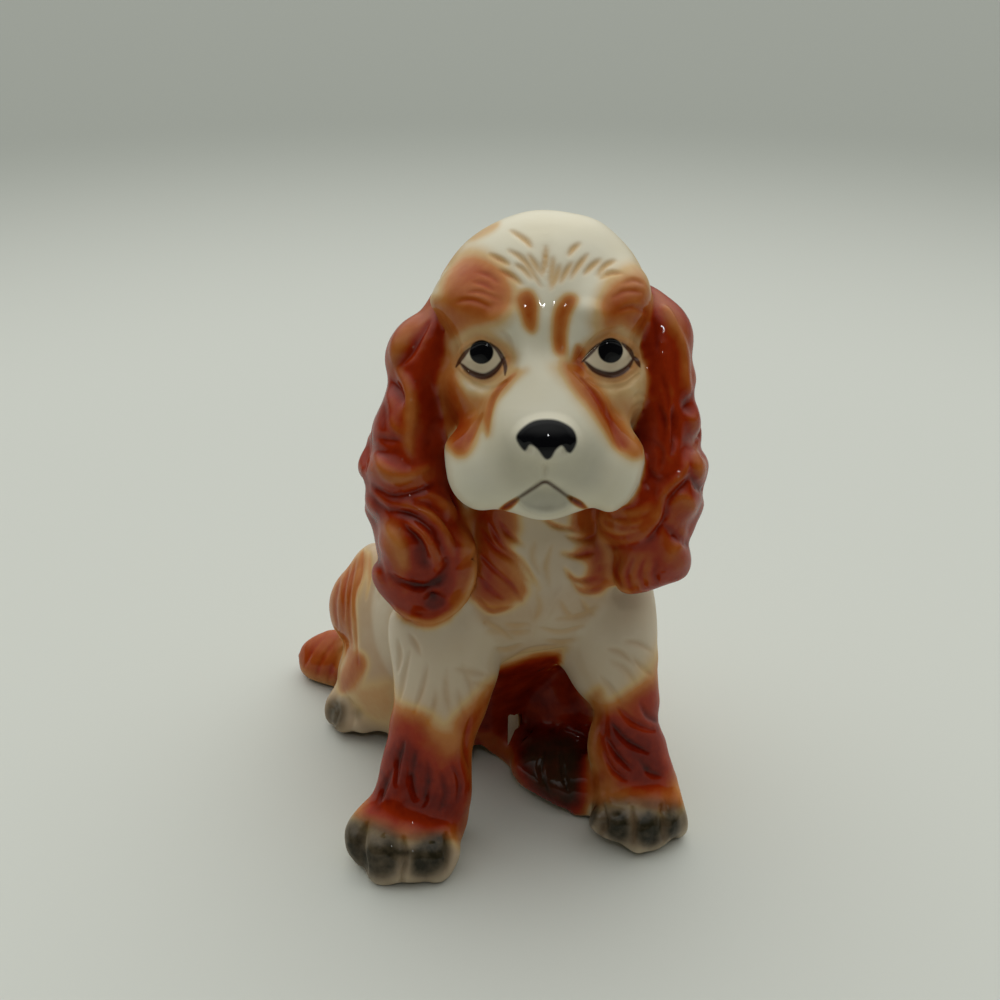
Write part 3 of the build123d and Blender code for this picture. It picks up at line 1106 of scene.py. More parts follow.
@dataclass(frozen=True)
class Head(SubAssembly):
    """The head with brows, eyes, nose, muzzle and flews.

    Attributes:
        eyes: the two eyes.
        nose: outline of the nose, in pixels.
        nose_height: how far the nose stands out.
        nose_feather: half width of the nose's soft edge, in pixels.
        nostrils: the hollows of the nose.
    """

    casting: Casting = Casting.HEAD
    outlines: tuple[Line, ...] = (
        ((651, 284), (643, 270), (629, 248), (601, 222), (572, 213), (536, 210), (500, 220), (469, 239),
            (449, 262), (438, 281), (426, 305)),
        ((444, 440), (446, 470), (454, 494), (475, 510), (498, 509)),
        ((592, 507), (612, 513), (635, 496), (644, 470), (645, 448)),
    )
    swells: tuple[Swell, ...] = (
        Swell((500, 318), (24, 16), 1.0, -20),
        Swell((592, 312), (26, 16), 1.0, 20),
        Swell((545, 350), (22, 34), -0.9),
        Swell((511, 362), (14, 18), -0.7),
        Swell((577, 360), (14, 18), -0.7),
        Swell((546, 270), (12, 45), -0.5),
        Swell((470, 405), (22, 34), 0.5),
        Swell((632, 405), (22, 34), 0.5),
        Swell((546, 472), (14, 16), -0.7),
    )
    marks: tuple[Mark, ...] = (
        Mark((((510, 230), (525, 240), (532, 248)), ((489, 254), (499, 259), (510, 265)), ((508, 250),
            (520, 257), (530, 268), (541, 287)), ((499, 270), (511, 276), (523, 285)), ((546, 246),
            (545, 262), (542, 277)), ((553, 257), (552, 270), (550, 286)), ((560, 264), (557, 275),
            (551, 290)), ((580, 243), (573, 249), (568, 256)), ((588, 254), (579, 265), (570, 279)),
            ((601, 259), (592, 266), (583, 275)), ((616, 260), (605, 266), (596, 276)), ((622, 273),
            (610, 273), (600, 279)), ((528, 254), (535, 264), (540, 274)), ((572, 262), (566, 272),
            (560, 284)), ((515, 264), (524, 270), (532, 280))), 3.8, 0.62, ((Coat.WASH, 0.55),
            (Coat.RUST, 0.14))),
        Mark((((473, 282), (484, 284), (494, 291)), ((468, 292), (482, 292), (500, 300)), ((454, 302),
            (472, 300), (492, 308)), ((478, 272), (490, 276), (500, 284)), ((612, 298), (626, 291),
            (642, 292)), ((616, 312), (632, 307), (650, 314)), ((622, 284), (634, 280),
            (644, 284))), 3.8, 0.4, ((Coat.RUST, 0.12),)),
        Mark((((514, 374), (498, 390), (490, 408), (487, 438)), ((482, 414), (474, 430), (466, 448)),
            ((575, 372), (593, 392), (608, 416), (625, 448)), ((600, 408), (612, 426),
            (620, 450))), 4.5, 0.5, ((Coat.RUST, 0.18),)),
        Mark((((629, 400), (640, 395), (651, 398)), ((632, 408), (642, 404), (652, 408)), ((655, 412),
            (650, 424), (644, 436)), ((649, 408), (645, 420), (640, 430))), 2.6, 0.3, ((Coat.WASH, 0.35),)),
        Mark((((581, 357), (592, 345), (605, 334), (622, 327)), ((512, 350), (508, 338),
            (500, 330))), 4.5, 0.45, ((Coat.WASH, 0.25),)),
        Mark((((463, 372), (472, 384), (488, 389), (505, 381)), ((588, 379), (606, 388), (626, 386),
            (640, 374))), 4.5, 0.35, ((Coat.WASH, 0.15),)),
        Mark((MOUTH,), 4.0, 0.9),
        Mark((MOUTH,), 3.2, 0.0, ((Coat.LID, 0.95),)),
        Mark((((500, 510), (508, 506), (518, 499)), ((586, 508), (578, 503),
            (568, 497))), 5.0, 0.4, ((Coat.RUST, 0.6), (Coat.LID, 0.35))),
        Mark((((546, 461), (545, 470), (545, 480)),), 4.0, 0.45),
        Mark((((518, 500), (530, 508), (546, 512), (562, 508), (573, 500)),), 6.0, -0.5),
    )
    patches: tuple[Patch, ...] = (
        Patch(Coat.RUST, ((436, 320), (440, 286), (452, 262), (470, 249), (490, 256), (508, 272),
            (517, 292), (511, 314), (498, 326), (480, 329), (462, 336), (452, 352), (450, 380),
            (458, 400), (472, 420), (462, 454), (444, 440), (436, 380)), 12.0, 0.17),
        Patch(Coat.RUST, ((444, 306), (449, 280), (464, 263), (484, 264), (502, 278), (508, 296),
            (500, 313), (486, 321), (466, 324), (450, 334)), 10.0, 0.27),
        Patch(Coat.RUST, ((430, 300), (443, 306), (446, 340), (450, 368), (460, 392), (470, 420),
            (463, 450), (444, 440), (436, 390), (430, 340)), 8.0, 0.26),
        Patch(Coat.RUST, ((448, 374), (466, 390), (486, 394), (502, 383), (517, 371), (506, 388),
            (494, 402), (489, 434), (482, 424), (474, 446), (462, 456), (452, 440)), 8.0, 0.20),
        Patch(Coat.RUST, ((519, 297), (529, 291), (536, 304), (534, 330), (527, 327),
            (522, 313)), 6.5, 0.42),
        Patch(Coat.RUST, ((566, 296), (576, 299), (568, 317), (565, 336), (565, 354), (556, 350),
            (554, 326), (557, 308)), 6.5, 0.42),
        Patch(Coat.RUST, ((596, 306), (608, 282), (626, 268), (646, 266), (656, 290), (659, 330),
            (658, 358), (642, 342), (624, 329), (606, 332), (594, 326)), 13.0, 0.20),
        Patch(Coat.RUST, ((606, 304), (620, 286), (638, 282), (650, 296), (656, 330), (654, 348),
            (640, 334), (622, 322), (608, 322)), 10.0, 0.30),
        Patch(Coat.RUST, ((577, 346), (583, 352), (584, 368), (578, 372), (574, 360)), 5.0, 0.34),
        Patch(Coat.RUST, ((562, 362), (580, 370), (600, 390), (616, 412), (630, 436), (636, 456),
            (618, 448), (604, 426), (588, 404), (574, 388)), 8.0, 0.27),
        Patch(Coat.RUST, ((586, 388), (602, 398), (616, 418), (628, 442), (618, 446),
            (602, 420)), 5.0, 0.20),
        Patch(Coat.RUST, ((612, 384), (648, 372), (656, 392), (650, 420), (640, 440),
            (624, 424)), 11.0, 0.10),
        Patch(Coat.RUST, ((648, 360), (658, 360), (657, 396), (650, 430), (642, 456), (636, 442),
            (646, 415)), 6.0, 0.24),
        Patch(Coat.RUST, ((552, 366), (580, 370), (612, 390), (642, 408), (650, 436), (638, 462),
            (612, 446), (590, 416), (572, 392)), 11.0, 0.10),
        Patch(Coat.RUST, ((528, 370), (514, 373), (497, 388), (488, 408), (484, 430), (492, 410),
            (506, 390)), 6.0, 0.12),
        # Painted shade on the chin, under the mouth and between the flews.
        Patch(Coat.SMOKE, ((519, 498), (546, 486), (573, 498), (566, 509), (546, 513),
            (526, 509)), 6.0, 0.34),
        # Grey below the nose on both sides of the muzzle: partly airbrushed grey, partly painted shade.
        Patch(Coat.SMOKE, ((504, 438), (518, 454), (540, 464), (542, 482), (520, 488),
            (502, 474)), 12.0, 0.17),
        Patch(Coat.SMOKE, ((554, 464), (572, 456), (590, 438), (606, 452), (600, 480), (578, 490),
            (554, 482)), 12.0, 0.17),
        Patch(Coat.RUST, ((468, 240), (482, 228), (498, 222), (496, 229), (480, 238)), 5.0, 0.15),
        Patch(Coat.INK, ((516, 437), (519, 445), (525, 451), (530, 445), (537, 449), (545, 459),
            (551, 458), (556, 450), (562, 446), (567, 452), (572, 452), (577, 441), (573, 429),
            (560, 421), (547, 419), (533, 421), (521, 429)), 1.6, 1.0),
        # Painted shade: a light grey over the lower muzzle.
        Patch(Coat.SMOKE, ((470, 470), (515, 440), (545, 430), (580, 440), (630, 470), (600, 500),
            (545, 484), (490, 500)), 18.0, 0.08),
    )
    combs: tuple[Comb, ...] = (Comb(110, 16.0, 1.3, 0.45, (0.0, 0.5, -1.0), 0.35, 3),)
    clouds: tuple[Cloud, ...] = (
        Cloud(Coat.RUST, (-6.0, -20.0, 118.0), (20.0, 20.0, 28.0), 0.45),
        Cloud(Coat.RUST, (46.0, -20.0, 118.0), (20.0, 20.0, 28.0), 0.45),
    )
    eyes: tuple[Eye, ...] = (
        Eye((481.5, 352.0), 12.0, ((460, 363), (467, 350), (481, 342.5), (495, 347), (504, 358)),
            ((460, 363), (470, 372), (484, 376.5), (496, 370), (504, 358)), (((470, 348), (463, 356),
            (456, 367)), ((490, 343), (499, 352), (505, 365), (505, 375)))),
        Eye((610.5, 350.5), 12.6, ((584, 361), (594, 348), (610, 340.5), (625, 346), (634, 358)),
            ((584, 361), (596, 371), (612, 375), (626, 369), (634, 358)), (((600, 343), (592, 351),
            (582, 362)), ((622, 343), (630, 351), (634, 360)), ((633, 356), (637, 361), (640, 367)))),
    )
    nose: Line = ((516, 438), (527, 452), (546, 460), (568, 453), (577, 441), (567, 423), (547, 418),
                  (525, 424))
    nose_height: float = 1.0
    nose_feather: float = 8.0
    nostrils: tuple[Swell, ...] = (Swell((530, 448), (6, 7), -0.8), Swell((564, 450), (6, 7), -0.8))

    def model(self, bench: Bench) -> None:
        """Models the face, then the nose and the eyes.

        Args:
            bench: the modelling bench.
        """
        super().model(bench)
        allowed = bench.skin.mask((self.casting,))
        easel = bench.look()
        lift = self.nose_height * easel.inside(self.nose, self.nose_feather, allowed)
        for nostril in self.nostrils:
            lift += nostril.height * easel.oval(nostril, allowed)
        bench.skin.push(lift)
        for eye in self.eyes:
            eye.model(bench, allowed)

    def paint(self, bench: Bench) -> None:
        """Paints the face, then the eyes.

        Args:
            bench: the modelling bench.
        """
        super().paint(bench)
        allowed = bench.skin.mask((self.casting,), self.PAINT_ROUNDS)
        for eye in self.eyes:
            eye.paint(bench, allowed)


@dataclass(frozen=True)
class Ear(SubAssembly):
    """A long ear of wavy locks that ends in a curl."""

    rust_base: float = 0.66
    pooling: float = 0.36
    fur_wash: float = 0.0
    wrap: float = 0.45


RIGHT_EAR = Ear(
    casting=Casting.RIGHT_EAR,
    outlines=(
        ((432, 290), (421, 310), (404, 323), (392, 341), (386, 358), (386, 370), (388, 380), (386, 391),
            (379, 408), (371, 425), (369, 439), (360, 452), (358, 464), (360, 475), (366, 489),
            (362, 501), (364, 511), (370, 523), (375, 537), (378, 552), (370, 570), (371, 581),
            (378, 591), (394, 609), (412, 620), (430, 624), (447, 617), (464, 603), (474, 580),
            (475, 556), (469, 533), (458, 512)),
    ),
    swells=(
        Swell((398, 346), (20, 34), 1.0, 25),
        Swell((384, 436), (20, 26), 1.0, 30),
        Swell((386, 470), (32, 20), 2.0, 8),
        Swell((396, 545), (24, 40), 2.6, -18),
        Swell((430, 545), (20, 42), 1.4, -28),
        Swell((435, 600), (14, 11), -2.0),
        Swell((430, 420), (16, 60), -0.6),
    ),
    marks=(
        Mark((((417, 317), (404, 332), (397, 346), (394, 362)), ((399, 372), (408, 386), (411, 408),
            (408, 434), (410, 454)), ((389, 394), (395, 410), (395, 424),
            (400, 436))), 11.0, -1.1, ((Coat.RUST, -0.10),)),
        Mark((((376, 456), (386, 471), (397, 477), (411, 475),
            (427, 468)),), 12.0, -1.2, ((Coat.RUST, -0.12),)),
        Mark((((386, 526), (394, 537), (401, 550), (404, 566)), ((407, 523), (419, 531), (430, 543),
            (437, 557), (437, 570))), 10.0, -0.9, ((Coat.RUST, -0.12),)),
        Mark((((406, 505), (426, 512), (440, 525), (446, 541),
            (448, 556)),), 8.0, -0.7, ((Coat.RUST, -0.10),)),
        Mark((((428, 492), (446, 503), (459, 518), (468, 534), (474, 556), (473, 578), (464, 601),
            (447, 616), (430, 622), (411, 617), (396, 608)),), 9.0, -1.0, ((Coat.RUST, -0.15),)),
        Mark((((474, 545), (475, 566), (471, 586), (461, 606), (446, 618), (429, 624), (411, 619),
            (394, 608)),), 8.0, 0.0, ((Coat.RUST, -0.66),)),
        Mark((((428, 322), (417, 338), (410, 352), (399, 365)), ((392, 381), (400, 393), (404, 404)),
            ((374, 487), (389, 496), (403, 496), (421, 491), (433, 484)), ((386, 510), (402, 513),
            (417, 518), (432, 531), (442, 548), (448, 565), (444, 580)), ((410, 501), (431, 506),
            (449, 521), (459, 540), (458, 562)), ((404, 526), (417, 538), (423, 552), (426, 567)),
            ((388, 574), (401, 583), (424, 588), (438, 581), (446, 568))), 7.0, 1.3, ((Coat.RUST, 0.25),)),
        Mark((((376, 436), (388, 440), (400, 440)), ((370, 440), (364, 456), (364, 470)), ((368, 492),
            (376, 504), (386, 510)), ((376, 556), (380, 570), (386, 584))), 6.5, 0.8, ((Coat.RUST, 0.20),)),
        Mark((((424, 600), (431, 607), (441, 605), (446, 596)),), 5.0, 0.4, ((Coat.RUST, 0.35),)),
    ),
    patches=(
        Patch(Coat.RUST, ((430, 292), (414, 312), (398, 330), (388, 350), (389, 374), (402, 368),
            (411, 348), (425, 328), (438, 306)), 9.0, -0.34),
        Patch(Coat.RUST, ((398, 366), (412, 380), (419, 410), (417, 440), (414, 460), (403, 452),
            (401, 425), (399, 395)), 7.0, -0.28),
        Patch(Coat.RUST, ((370, 448), (384, 464), (400, 474), (428, 464), (434, 480), (410, 490),
            (388, 486), (370, 472)), 8.0, -0.24),
        Patch(Coat.RUST, ((383, 518), (398, 524), (409, 545), (411, 566), (400, 573), (389, 556),
            (381, 536)), 7.0, -0.38),
        Patch(Coat.RUST, ((418, 498), (446, 504), (463, 527), (472, 556), (470, 584), (457, 606),
            (447, 600), (458, 572), (456, 545), (443, 524), (422, 512)), 6.0, -0.26),
        Patch(Coat.RUST, ((410, 575), (430, 578), (448, 572), (452, 590), (444, 606), (426, 608),
            (412, 596)), 7.0, 0.35),
    ),
    combs=(Comb(15, 44.0, 2.2, 1.1, (0.0, 0.2, -1.0), 0.45, 11),),
)

LEFT_EAR = Ear(
    casting=Casting.LEFT_EAR,
    outlines=(
        ((596, 517), (596, 536), (607, 552), (607, 572), (616, 588), (630, 594), (646, 592), (666, 585),
            (685, 578), (691, 569), (691, 559), (687, 547), (694, 534), (697, 521), (706, 501),
            (703, 490), (709, 472), (705, 458), (696, 443), (699, 423), (691, 402), (693, 396),
            (697, 379), (692, 358), (694, 346), (692, 326), (681, 307), (667, 296), (653, 285)),
    ),
    swells=(
        Swell((698, 464), (14, 22), 1.2),
        Swell((686, 505), (22, 26), 1.2),
        Swell((674, 556), (24, 24), 1.4, -30),
        Swell((624, 530), (30, 18), 1.0, -10),
        Swell((624, 572), (20, 20), 0.8),
        Swell((664, 420), (14, 50), -0.5),
    ),
    marks=(
        Mark((((665, 310), (676, 330), (683, 352), (684, 380), (688, 400), (694, 424), (693, 448),
            (685, 473), (665, 494), (659, 515), (642, 535),
            (616, 551)),), 10.0, -1.3, ((Coat.RUST, -0.10),)),
        Mark((((664, 306), (669, 320), (672, 336)), ((695, 456), (700, 466), (699, 478)), ((684, 530),
            (678, 546), (668, 562)), ((678, 494), (690, 502),
            (694, 512))), 9.0, -0.7, ((Coat.RUST, -0.14),)),
        Mark((((691, 474), (699, 486), (704, 492)), ((660, 522), (677, 537), (687, 545)), ((690, 452),
            (688, 476), (668, 500), (664, 520), (648, 541)), ((673, 408), (675, 431), (671, 454)),
            ((690, 392), (686, 404), (690, 416))), 7.0, 1.2, ((Coat.RUST, 0.25),)),
        Mark((((602, 512), (622, 519), (640, 519), (655, 509)), ((603, 522), (621, 528), (638, 527),
            (652, 518)), ((602, 532), (618, 538), (632, 536), (646, 528)), ((602, 542), (614, 548),
            (628, 545), (640, 538)), ((620, 558), (616, 574), (622, 588)), ((633, 558), (627, 576),
            (632, 590)), ((646, 556), (640, 574), (645, 588)), ((660, 556), (654, 572), (658, 584)),
            ((610, 504), (630, 508), (648, 498))), 4.0, 0.55, ((Coat.RUST, 0.30),)),
        Mark((((652, 440), (662, 452), (660, 470)), ((656, 400), (664, 420), (664, 440)), ((648, 470),
            (658, 480), (662, 476)), ((660, 372), (668, 396), (668, 412))), 4.5, 0.5, ((Coat.RUST, 0.15),)),
        Mark((((595, 520), (596, 536), (607, 552), (607, 572), (616, 587),
            (630, 593)),), 9.0, -0.3, ((Coat.RUST, -0.72),)),
        Mark((((652, 300), (656, 330), (657, 352)),), 6.0, 0.5, ((Coat.RUST, 0.2),)),
    ),
    patches=(
        Patch(Coat.RUST, ((654, 290), (668, 298), (684, 320), (692, 350), (692, 384), (682, 374),
            (677, 345), (668, 322), (657, 306)), 8.0, -0.34),
        Patch(Coat.RUST, ((596, 510), (620, 506), (648, 505), (657, 514), (641, 537), (616, 552),
            (601, 541)), 7.0, -0.36),
        Patch(Coat.RUST, ((606, 554), (630, 552), (652, 556), (648, 586), (630, 593),
            (612, 584)), 7.0, -0.32),
        Patch(Coat.RUST, ((692, 438), (705, 456), (707, 474), (697, 488), (688, 470)), 6.0, -0.18),
        Patch(Coat.RUST, ((664, 500), (690, 498), (698, 520), (685, 545), (668, 562),
            (660, 540)), 8.0, -0.16),
    ),
    combs=(Comb(15, 44.0, 2.2, 1.1, (0.0, 0.2, -1.0), 0.45, 12),),
)


TORSO = SubAssembly(
    casting=Casting.TORSO,
    wash_base=0.42,
    outlines=(((476, 743), (503, 762), (522, 786), (541, 797), (562, 808), (576, 817)),),
    outline_castings=(Casting.TORSO, Casting.LEFT_HIND_LEG),
    swells=(
        Swell((498, 560), (18, 34), 0.6, -15),
        Swell((592, 556), (16, 30), 0.6, 15),
        Swell((548, 600), (16, 40), 0.5, 15),
    ),
    marks=(
        Mark((((482, 530), (494, 548), (512, 560), (530, 584)), ((478, 552), (494, 570), (512, 586),
            (522, 602)), ((476, 575), (490, 590), (505, 600)), ((500, 522), (510, 536), (524, 546)),
            ((490, 524), (502, 546), (522, 562), (540, 590))), 4.8, 0.6, ((Coat.RUST, 0.26),)),
        Mark((((476, 597), (490, 611), (513, 607)), ((541, 517), (556, 526), (576, 530)), ((566, 536),
            (582, 540), (600, 534)), ((560, 552), (578, 556), (598, 550)), ((564, 568), (576, 580),
            (598, 578)), ((572, 582), (584, 592), (604, 588)), ((600, 520), (598, 550),
            (602, 580))), 4.8, 0.6, ((Coat.RUST, 0.28),)),
        Mark((((505, 624), (516, 626), (528, 624)), ((507, 632), (518, 633), (530, 631)), ((536, 540),
            (532, 556), (540, 574)), ((552, 545), (546, 566), (550, 586)), ((496, 668), (518, 657),
            (541, 653), (589, 646), (608, 643)), ((540, 628), (560, 632), (584, 626)), ((556, 620),
            (580, 616), (600, 606)), ((470, 640), (486, 632), (500, 634)), ((488, 646), (504, 650),
            (522, 644)), ((480, 620), (496, 628), (512, 640)), ((560, 600), (566, 612), (574, 620)),
            ((580, 598), (588, 610), (598, 618)), ((604, 600), (612, 612), (624, 618)), ((628, 606),
            (636, 616), (648, 620)), ((520, 572), (524, 590), (520, 606)), ((536, 590), (540, 606),
            (534, 622)), ((546, 640), (566, 642), (590, 636)), ((510, 660), (530, 650), (556, 646)),
            ((600, 626), (620, 632), (644, 630))), 4.0, 0.5, ((Coat.WASH, 0.45), (Coat.RUST, 0.05))),
        Mark((((560, 588), (552, 602), (546, 618)), ((530, 600), (534, 616), (530, 640))), 5.0, -0.5),
    ),
    patches=(
        Patch(Coat.RUST, ((472, 508), (492, 500), (512, 506), (518, 528), (510, 546), (512, 562),
            (520, 578), (526, 592), (512, 604), (496, 608), (480, 602), (470, 592),
            (476, 556)), 10.0, 0.40),
        Patch(Coat.RUST, ((474, 512), (494, 512), (500, 540), (496, 572), (500, 596), (480, 594),
            (478, 556)), 9.0, 0.25),
        Patch(Coat.RUST, ((580, 504), (604, 500), (610, 530), (602, 552), (608, 575), (600, 592),
            (584, 586), (590, 566), (576, 552), (586, 541), (572, 526)), 8.0, 0.46),
        Patch(Coat.WASH, ((470, 600), (500, 604), (530, 596), (548, 610), (530, 640), (496, 640),
            (474, 624)), 12.0, 0.30),
        Patch(Coat.WASH, ((550, 592), (600, 588), (640, 600), (658, 592), (658, 622), (610, 628),
            (560, 620)), 12.0, 0.32),
        Patch(Coat.WASH, ((392, 608), (430, 626), (470, 614), (486, 598), (492, 614), (470, 642),
            (430, 654), (396, 638)), 8.0, 0.42),
        Patch(Coat.WASH, ((486, 668), (530, 646), (590, 640), (606, 656), (560, 668),
            (500, 684)), 9.0, 0.50),
        Patch(Coat.RUST, ((488, 672), (530, 654), (586, 648), (596, 660), (560, 664),
            (506, 682)), 7.0, 0.16),
        # Deep rust over the belly and the hind legs in the recess behind the forelegs: partly rust, partly
        # painted shade of the recess.
        Patch(Coat.RUST, ((484, 684), (516, 664), (556, 656), (596, 680), (602, 740), (592, 812),
            (560, 812), (530, 800), (505, 774),
            (474, 752)), 6.0, 0.74, castings=(Casting.TORSO, Casting.LEFT_HIND_LEG,
            Casting.RIGHT_HIND_LEG)),
        Patch(Coat.RUST, ((474, 736), (498, 734), (524, 764), (548, 792), (582, 812), (562, 810),
            (530, 800), (505, 774)), 5.0, -0.42, castings=(Casting.TORSO, Casting.LEFT_HIND_LEG)),
    ),
    clouds=(
        Cloud(Coat.RUST, (-22.0, 40.0, 62.0), (30.0, 26.0, 34.0), 0.50),
        Cloud(Coat.RUST, (24.0, 20.0, 52.0), (26.0, 26.0, 30.0), 0.45),
    ),
    combs=(Comb(300, 20.0, 1.5, 0.55, (-0.35, 0.55, -1.0), 0.45, 21),),
)

RIGHT_FORELEG = SubAssembly(
    casting=Casting.RIGHT_FORELEG,
    wash_base=0.36,
    outlines=(
        ((389, 612), (388, 642), (392, 666), (394, 698), (392, 712), (387, 723), (389, 732), (382, 757),
            (374, 790), (354, 812), (344, 834), (349, 852), (360, 868), (375, 883), (391, 888),
            (402, 882), (428, 884), (447, 879), (457, 862), (461, 843), (469, 816), (472, 794),
            (473, 746), (485, 715), (493, 690), (499, 677)),
    ),
    swells=(
        Swell((378, 850), (22, 26), 1.2),
        Swell((426, 856), (20, 22), 1.2),
        Swell((352, 844), (10, 20), 0.7),
        Swell((456, 852), (8, 18), 0.6),
    ),
    marks=(
        Mark((((428, 664), (422, 690), (414, 712)), ((446, 668), (446, 692), (450, 712)), ((462, 664),
            (470, 684), (474, 700)), ((410, 650), (404, 676), (400, 700)), ((436, 690), (434, 706),
            (428, 722)), ((458, 690), (462, 706), (466, 718)), ((455, 668), (472, 672), (488, 674)),
            ((464, 680), (478, 684), (492, 686)), ((410, 634), (416, 644), (420, 654)), ((398, 640),
            (400, 656), (398, 672))), 4.4, 0.55, ((Coat.WASH, 0.34),)),
        Mark((((452, 764), (460, 782), (458, 802)), ((440, 772), (446, 792), (440, 812)), ((404, 742),
            (398, 762), (396, 784)), ((416, 752), (412, 776), (416, 800)), ((470, 720), (466, 744),
            (470, 768)), ((392, 770), (384, 788), (380, 802)), ((428, 760), (428, 784),
            (424, 806))), 5.0, 0.6, ((Coat.RUST, 0.16),)),
        Mark((((403, 838), (405, 862), (401, 886)), ((366, 824), (360, 846), (366, 872)), ((446, 834),
            (450, 852), (446, 872))), 6.0, 1.4, ((Coat.SMOKE, 0.3),)),
        Mark((((392, 853), (404, 853), (418, 850)), ((430, 840), (438, 850), (436, 864)), ((372, 846),
            (366, 858), (370, 872)), ((354, 832), (350, 844),
            (354, 856))), 5.0, 0.0, ((Coat.SMOKE, 0.75),)),
    ),
    patches=(
        Patch(Coat.RUST, ((392, 714), (420, 716), (446, 730), (466, 712), (496, 684), (488, 716),
            (476, 748), (476, 792), (468, 824), (440, 834), (400, 832), (362, 816), (374, 780),
            (382, 745)), 17.0, 0.54),
        Patch(Coat.RUST, ((384, 752), (404, 742), (420, 756), (440, 772), (456, 762), (468, 788),
            (458, 812), (424, 816), (392, 806), (374, 796)), 11.0, 0.60),
        Patch(Coat.RUST, ((354, 815), (380, 804), (420, 816), (466, 820), (464, 850), (448, 838),
            (420, 838), (396, 836), (372, 818)), 9.0, 0.22),
        Patch(Coat.RUST, ((428, 720), (452, 724), (464, 738), (452, 754), (434, 744)), 9.0, -0.42),
        Patch(Coat.WASH, ((344, 830), (372, 812), (420, 832), (464, 822), (462, 850), (446, 878),
            (390, 886), (352, 862)), 8.0, 0.30),
        Patch(Coat.WASH, ((394, 690), (440, 700), (490, 680), (480, 712), (430, 724),
            (392, 712)), 10.0, 0.14),
        Patch(Coat.SMOKE, ((340, 834), (350, 816), (374, 820), (400, 834), (402, 858), (396, 876),
            (376, 880), (354, 868)), 8.0, 0.80),
        Patch(Coat.SMOKE, ((345, 836), (354, 826), (362, 840), (360, 862), (350, 856)), 5.0, 0.55),
        Patch(Coat.SMOKE, ((368, 850), (386, 838), (398, 848), (396, 868), (380, 876),
            (370, 866)), 7.0, 0.60),
        Patch(Coat.SMOKE, ((412, 852), (424, 838), (442, 834), (448, 848), (444, 866), (426, 876),
            (413, 872)), 5.5, 0.92),
        Patch(Coat.SMOKE, ((398, 840), (424, 832), (448, 836), (450, 862), (440, 876),
            (410, 876)), 7.0, 0.60),
    ),
    combs=(Comb(60, 18.0, 1.4, 0.5, (0.0, 0.2, -1.0), 0.4, 31),),
    clouds=(Cloud(Coat.RUST, (-12.0, -40.0, 22.0), (16.0, 24.0, 20.0), 0.45),),
)

LEFT_FORELEG = SubAssembly(
    casting=Casting.LEFT_FORELEG,
    wash_base=0.38,
    outlines=(
        ((594, 707), (588, 738), (585, 780), (587, 812), (590, 828), (612, 841), (627, 848), (644, 855),
            (657, 850), (666, 843), (685, 835), (688, 819), (683, 801), (676, 772), (668, 752),
            (667, 741), (658, 719), (662, 700), (658, 692), (660, 682), (657, 669), (660, 658), (657, 645)),
    ),
    swells=(
        Swell((617, 824), (13, 20), 1.1),
        Swell((648, 828), (14, 22), 1.2),
        Swell((675, 822), (10, 18), 0.9),
        Swell((595, 816), (8, 14), 0.7),
    ),
    marks=(
        Mark((((606, 738), (616, 754), (632, 770)), ((612, 724), (626, 740), (648, 752)), ((618, 708),
            (634, 722), (654, 730)), ((640, 760), (650, 772), (662, 776)), ((604, 754), (612, 770),
            (626, 780)), ((640, 704), (648, 716), (658, 722))), 5.0, 0.7, ((Coat.RUST, 0.18),)),
        Mark((((610, 660), (624, 668), (636, 684)), ((632, 656), (642, 668), (652, 676)), ((600, 676),
            (612, 690), (622, 704)), ((624, 640), (640, 644), (652, 652)), ((608, 648), (620, 652),
            (634, 664))), 4.4, 0.5, ((Coat.WASH, 0.36),)),
        Mark((((603, 806), (604, 824), (600, 836)), ((632, 808), (634, 828), (632, 848)), ((662, 806),
            (664, 824), (664, 842))), 6.0, 1.4, ((Coat.WASH, 0.4),)),
    ),
    patches=(
        Patch(Coat.RUST, ((604, 716), (624, 700), (656, 688), (664, 715), (670, 745), (676, 772),
            (656, 786), (630, 788), (612, 776), (600, 748)), 15.0, 0.56),
        Patch(Coat.RUST, ((608, 718), (636, 730), (662, 768), (628, 780), (608, 752)), 10.0, 0.60),
        Patch(Coat.RUST, ((586, 792), (596, 772), (630, 776), (665, 780), (684, 802), (668, 812),
            (640, 806), (612, 804), (596, 808)), 8.0, 0.30),
        Patch(Coat.RUST, ((582, 706), (604, 690), (606, 772), (590, 790), (580, 764)), 8.0, 0.22),
        Patch(Coat.WASH, ((588, 800), (610, 784), (650, 784), (680, 800), (688, 824), (650, 850),
            (600, 834)), 8.0, 0.30),
        Patch(Coat.SMOKE, ((592, 804), (598, 806), (596, 820), (590, 828), (588, 818)), 3.0, 0.85),
        Patch(Coat.SMOKE, ((608, 818), (618, 810), (628, 820), (626, 838), (616, 840),
            (608, 832)), 4.5, 0.97),
        Patch(Coat.SMOKE, ((638, 820), (650, 810), (661, 822), (658, 842), (646, 846),
            (638, 836)), 4.5, 0.97),
        Patch(Coat.SMOKE, ((666, 812), (674, 808), (680, 824), (676, 838), (668, 836)), 4.0, 0.85),
        Patch(Coat.SMOKE, ((596, 802), (650, 798), (684, 806), (688, 826), (650, 848),
            (600, 834)), 7.0, 0.70),
    ),
    combs=(Comb(60, 18.0, 1.4, 0.5, (0.0, 0.2, -1.0), 0.4, 32),),
    clouds=(Cloud(Coat.RUST, (50.0, -40.0, 26.0), (16.0, 24.0, 20.0), 0.45),),
)

